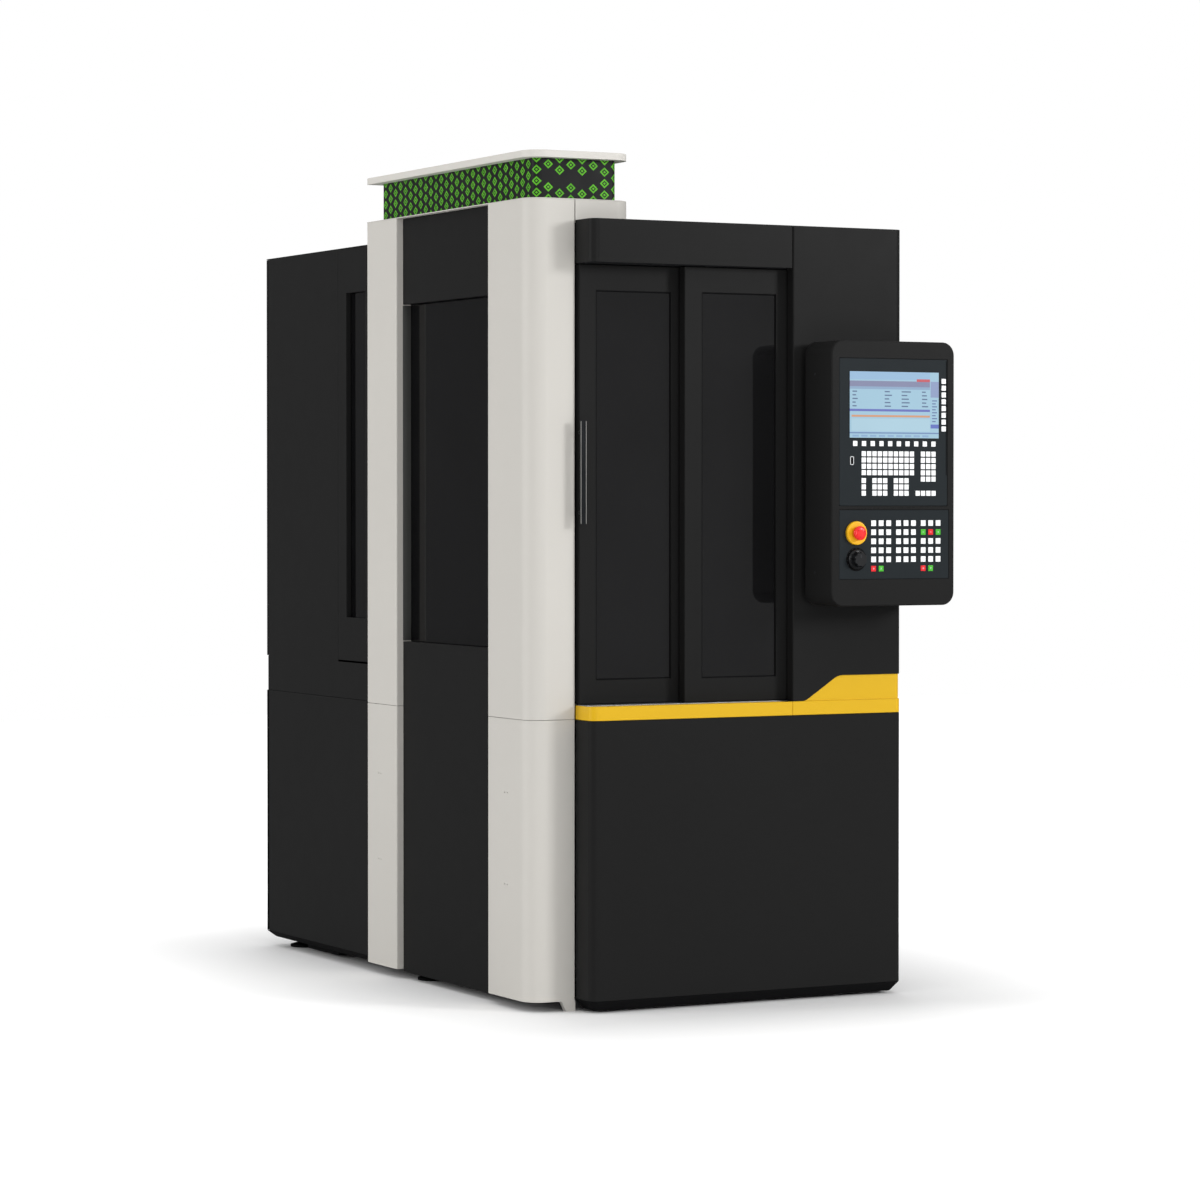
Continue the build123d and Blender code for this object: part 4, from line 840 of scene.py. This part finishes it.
def controlHousing(values):
    low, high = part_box("control_housing")
    centre = (low + high) / 2
    old = mm(values["cadCorner"])
    more = mm(values["corner"] - values["cadCorner"])

    def fuller(shape):
        for vert in shape.verts:
            away = vert.co - centre
            over = Vector((abs(away.x) - (high.x - centre.x - old), abs(away.z) - (high.z - centre.z - old)))
            if min(over) < -1e-6 or over.length < mm(values["inner"]):
                continue
            over = over.normalized() * (over.length + more) - Vector((more, more))
            vert.co.x = centre.x + math.copysign(high.x - centre.x - old + over.x, away.x)
            vert.co.z = centre.z + math.copysign(high.z - centre.z - old + over.y, away.z)

    dressed("control_housing", values["edge"], 3, change=fuller)
    dressed("control_bracket", values["plateEdge"], change=fuller)


controlHousing(housingValues)

# Small fittings of the control unit

# The flap and the slot are given by their left, right, bottom and top.
unitValues = {"screwRadius": 3.2, "screwHeight": 1.2, "screwZ": (1105, 1612), "screwY": -77,
              "screwTaper": 0.8, "socketRim": 1.4, "socketWall": 0.05, "socketDepth": 0.9, "faceY": -159,
              "flap": (657.5, 668.5, 1380, 1402), "flapProud": 1.0, "flapRound": 0.5, "rimWidth": 1.6,
              "rimProud": 1.3, "rimBack": 0.7, "slot": (946.6, 949.4, 1354.6, 1648.8), "slotProud": 0.12}


def unitScrews(values):
    low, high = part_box("control_housing")
    shape = bmesh.new()
    radius = mm(values["screwRadius"])
    height = mm(values["screwHeight"])
    for side, outward in ((low.x, -1), (high.x, 1)):
        for z in values["screwZ"]:
            spot = Matrix.Translation((side + outward * height / 2, at(0, values["screwY"], 0).y, mm(z)))
            turn = Matrix.Rotation(math.radians(90 * outward), 4, "Y")
            bmesh.ops.create_cone(shape, cap_ends=True, segments=28, radius1=radius, depth=height,
                                  radius2=radius * values["screwTaper"], matrix=spot @ turn)
    heads = [face for face in shape.faces if abs(face.normal.x) > 0.99 and len(face.verts) > 20]
    bmesh.ops.inset_individual(shape, faces=heads, thickness=mm(values["socketRim"]), depth=0)
    bmesh.ops.inset_individual(shape, faces=heads, thickness=mm(values["socketWall"]),
                               depth=-mm(values["socketDepth"]))
    smoothed(placed("unit_screws", shape, "motorBlack", "frame"), 30)


def portFlap(values):
    x0, x1, z0, z1 = values["flap"]
    face = values["faceY"]
    flap = bmesh.new()
    box(flap, x0, x1, face - values["flapProud"], face + 0.2, z0, z1)
    rounded(flap, values["flapRound"], 3)
    smoothed(placed("port_flap", flap, "rubberBlack", "frame"), 30)
    wide = values["rimWidth"]
    sides = ((x0, x0 + wide, z0, z1), (x1 - wide, x1, z0, z1), (x0, x1, z0, z0 + wide),
             (x0, x1, z1 - wide, z1))
    rim = bmesh.new()
    for left, right, bottom, top in sides:
        box(rim, left, right, face - values["rimProud"], face - values["rimBack"], bottom, top)
    placed("port_rim", rim, "markPale", "frame")


def fasciaLine(values):
    x0, x1, z0, z1 = values["slot"]
    slot = bmesh.new()
    box(slot, x0, x1, values["faceY"] - values["slotProud"], values["faceY"] + 0.1, z0, z1)
    placed("fascia_line", slot, "rubberBlack", "frame")


unitScrews(unitValues)
portFlap(unitValues)
fasciaLine(unitValues)

# Glazing seals, which also paint the shadow lines of the pane recesses

sealAndShadowValues = {"width": 3, "lap": 10, "proud": 0.6, "round": 0.25}


def sealAndShadowLine(glass, values):
    # A black rubber profile along the seen edge of a pane; its black also paints the thin shadow line of the
    # pane's recess.
    low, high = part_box(glass)
    width = mm(values["width"])
    lap = mm(values["lap"])
    depth = mm(values["proud"])
    x0, x1, z0, z1 = low.x + lap, high.x - lap, low.z + lap, high.z - lap
    bars = ((x0, x1, z0, z0 + width), (x0, x1, z1 - width, z1), (x0, x0 + width, z0 + width, z1 - width),
            (x1 - width, x1, z0 + width, z1 - width))
    seal = bmesh.new()
    for left, right, bottom, top in bars:
        size = Matrix.Diagonal((right - left, depth, top - bottom, 1))
        spot = Vector(((left + right) / 2, low.y - depth / 2, (bottom + top) / 2))
        bmesh.ops.create_cube(seal, size=1, matrix=Matrix.Translation(spot) @ size)
    piece = placed(glass + "_seal_and_shadow_line", seal, "rubberBlack", bodyOf(glass))
    eased(smoothed(piece), values["round"])


for glass in ("front_leaf_glass", "rear_leaf_glass"):
    sealAndShadowLine(glass, sealAndShadowValues)

# Window jamb

jambValues = {"from": -110.4, "to": -86.2, "front": 887.0, "thick": 0.8, "bottom": 912.8, "top": 1814.2,
              "round": 0.25}


def windowJamb(values):
    # A dark grey strip on the return of the rear column, along the side window.
    shape = bmesh.new()
    front = values["front"]
    box(shape, values["from"], values["to"], front, front + values["thick"], values["bottom"], values["top"])
    rounded(shape, values["round"])
    smoothed(placed("window_jamb", shape, "jambGrey", "frame"))


windowJamb(jambValues)
print("fittings")

# Stage, light and camera

# The floor's painted glow grows from paintedGlowNear to paintedGlowFar over paintedGlowReach metres from the
# footprint's half sizes, which leaves a painted shadow round the machine.
stageValues = {"floorSize": 24, "floorTone": (0.88, 0.88, 0.88, 1), "clouding": 0.985, "bounce": 1.0,
               "mirrored": 0.25, "paintedGlowNear": 0.0, "paintedGlowFar": 0.5, "paintedGlowReach": 0.9, "footprint": (0.5, 0.95),
               "roughness": 0.7, "gloss": 0.05, "seen": 1.0, "lowSky": 0.22, "highSky": 0.9, "skyStart": 0.08,
               "skyEnd": 0.75}


def floorFinish(values):
    finish, tree, shader = newFinish("floorPaint")
    white = values["floorTone"]
    clouds = spread(tree, noiseAt(tree, 0.7, 2.0), 0, 1)
    tint = blendTones(tree, clouds, dimmed(white, values["clouding"]), white)
    # The floor looks white, but throws its own share of light back up, and looks darker in the glass.
    path = tree.nodes.new("ShaderNodeLightPath")
    seenOnly = path.outputs["Is Camera Ray"]
    thrown = blendTones(tree, seenOnly, dimmed(white, values["bounce"]), tint)
    mirrored = blendTones(tree, path.outputs["Is Glossy Ray"], thrown, dimmed(white, values["mirrored"]))
    tree.links.new(mirrored, shader.inputs["Base Color"])
    # For camera rays the floor gets a painted glow that grows away from the machine, so it washes out to
    # white far off and keeps a darker painted shadow close to it.
    coords = tree.nodes.new("ShaderNodeTexCoord")
    parts = tree.nodes.new("ShaderNodeSeparateXYZ")
    tree.links.new(coords.outputs["Object"], parts.inputs["Vector"])
    beyond = []
    for axis, half in zip("XY", values["footprint"]):
        past = mathNode(tree, "SUBTRACT", mathNode(tree, "ABSOLUTE", parts.outputs[axis]), half)
        past = mathNode(tree, "MAXIMUM", past, 0.0)
        beyond.append(mathNode(tree, "MULTIPLY", past, past))
    away = mathNode(tree, "SQRT", mathNode(tree, "ADD", *beyond))
    paintedGlow = spread(tree, away, values["paintedGlowNear"], values["paintedGlowFar"], 0, values["paintedGlowReach"])
    shader.inputs["Emission Color"].default_value = (1, 1, 1, 1)
    tree.links.new(mathNode(tree, "MULTIPLY", seenOnly, paintedGlow), shader.inputs["Emission Strength"])
    shader.inputs["Roughness"].default_value = values["roughness"]
    shader.inputs["Specular IOR Level"].default_value = values["gloss"]
    return finish


def makeFloor(values):
    shape = bmesh.new()
    bmesh.ops.create_grid(shape, x_segments=2, y_segments=2, size=values["floorSize"] / 2)
    mesh = bpy.data.meshes.new("floor")
    shape.to_mesh(mesh)
    shape.free()
    floor = bpy.data.objects.new("floor", mesh)
    bpy.context.scene.collection.objects.link(floor)
    mesh.materials.append(floorFinish(values))


def makeSky(values):
    # The sky is bright overhead and dim at the horizon, so that upright glass and black paint stay dark.
    world = bpy.data.worlds.new("studio")
    world.use_nodes = True
    tree = world.node_tree
    tree.nodes.clear()
    out = tree.nodes.new("ShaderNodeOutputWorld")
    coords = tree.nodes.new("ShaderNodeTexCoord")
    parts = tree.nodes.new("ShaderNodeSeparateXYZ")
    tree.links.new(coords.outputs["Generated"], parts.inputs["Vector"])
    light = tree.nodes.new("ShaderNodeBackground")
    sky = spread(tree, parts.outputs["Z"], values["lowSky"], values["highSky"], values["skyStart"],
                 values["skyEnd"])
    tree.links.new(sky, light.inputs["Strength"])
    seen = tree.nodes.new("ShaderNodeBackground")
    seen.inputs["Strength"].default_value = values["seen"]
    path = tree.nodes.new("ShaderNodeLightPath")
    mixer = tree.nodes.new("ShaderNodeMixShader")
    for background in (light, seen):
        background.inputs["Color"].default_value = (1, 1, 1, 1)
    tree.links.new(path.outputs["Is Camera Ray"], mixer.inputs["Fac"])
    tree.links.new(light.outputs["Background"], mixer.inputs[1])
    tree.links.new(seen.outputs["Background"], mixer.inputs[2])
    tree.links.new(mixer.outputs["Shader"], out.inputs["Surface"])
    bpy.context.scene.world = world


# Each light: its place in metres, its size, its power, and the point that it looks at.
lightValues = {
    "overhead": {"place": (-0.8, -1.8, 5.5), "size": (6, 5), "power": 30, "aim": (0, 0, 0.6)},
    "left": {"place": (-9.0, 1.5, 2.8), "size": (2.6, 4.5), "power": 285, "aim": (0, 0, 1.0)},
    "front": {"place": (-1.5, -9.5, 2.0), "size": (3.0, 2.4), "power": 160, "aim": (0.2, -0.5, 1.0)},
    "key": {"place": (6.4, -8.5, 3.7), "size": (2.4, 2.2), "power": 440, "aim": (0.2, -0.5, 1.2)},
    "back": {"place": (2.5, 7.5, 4.2), "size": (5, 3), "power": 110, "aim": (0, 0, 1.0)},
}


def makeLights(lights):
    for name, values in lights.items():
        lamp = bpy.data.lights.new(name, "AREA")
        lamp.shape = "RECTANGLE"
        lamp.size, lamp.size_y = values["size"]
        lamp.energy = values["power"]
        holder = bpy.data.objects.new(name, lamp)
        holder.location = values["place"]
        aim = Vector(values["aim"]) - Vector(values["place"])
        holder.rotation_euler = aim.to_track_quat("-Z", "Y").to_euler()
        bpy.context.scene.collection.objects.link(holder)


cameraValues = {"place": (-4.830, -9.218, 1.286), "turn": 27.75, "down": 0.9, "lens": 114.03, "shift": -0.032,
                "sensor": 36, "far": 200}


def makeCamera(values):
    camera = bpy.data.cameras.new("camera")
    camera.lens = values["lens"]
    camera.sensor_width = values["sensor"]
    camera.shift_y = values["shift"]
    camera.clip_end = values["far"]
    holder = bpy.data.objects.new("camera", camera)
    holder.location = values["place"]
    holder.rotation_euler = (math.radians(90 - values["down"]), 0, math.radians(-values["turn"]))
    bpy.context.scene.collection.objects.link(holder)
    bpy.context.scene.camera = holder


makeFloor(stageValues)
makeSky(stageValues)
makeLights(lightValues)
makeCamera(cameraValues)
bpy.context.scene.view_settings.view_transform = "Standard"
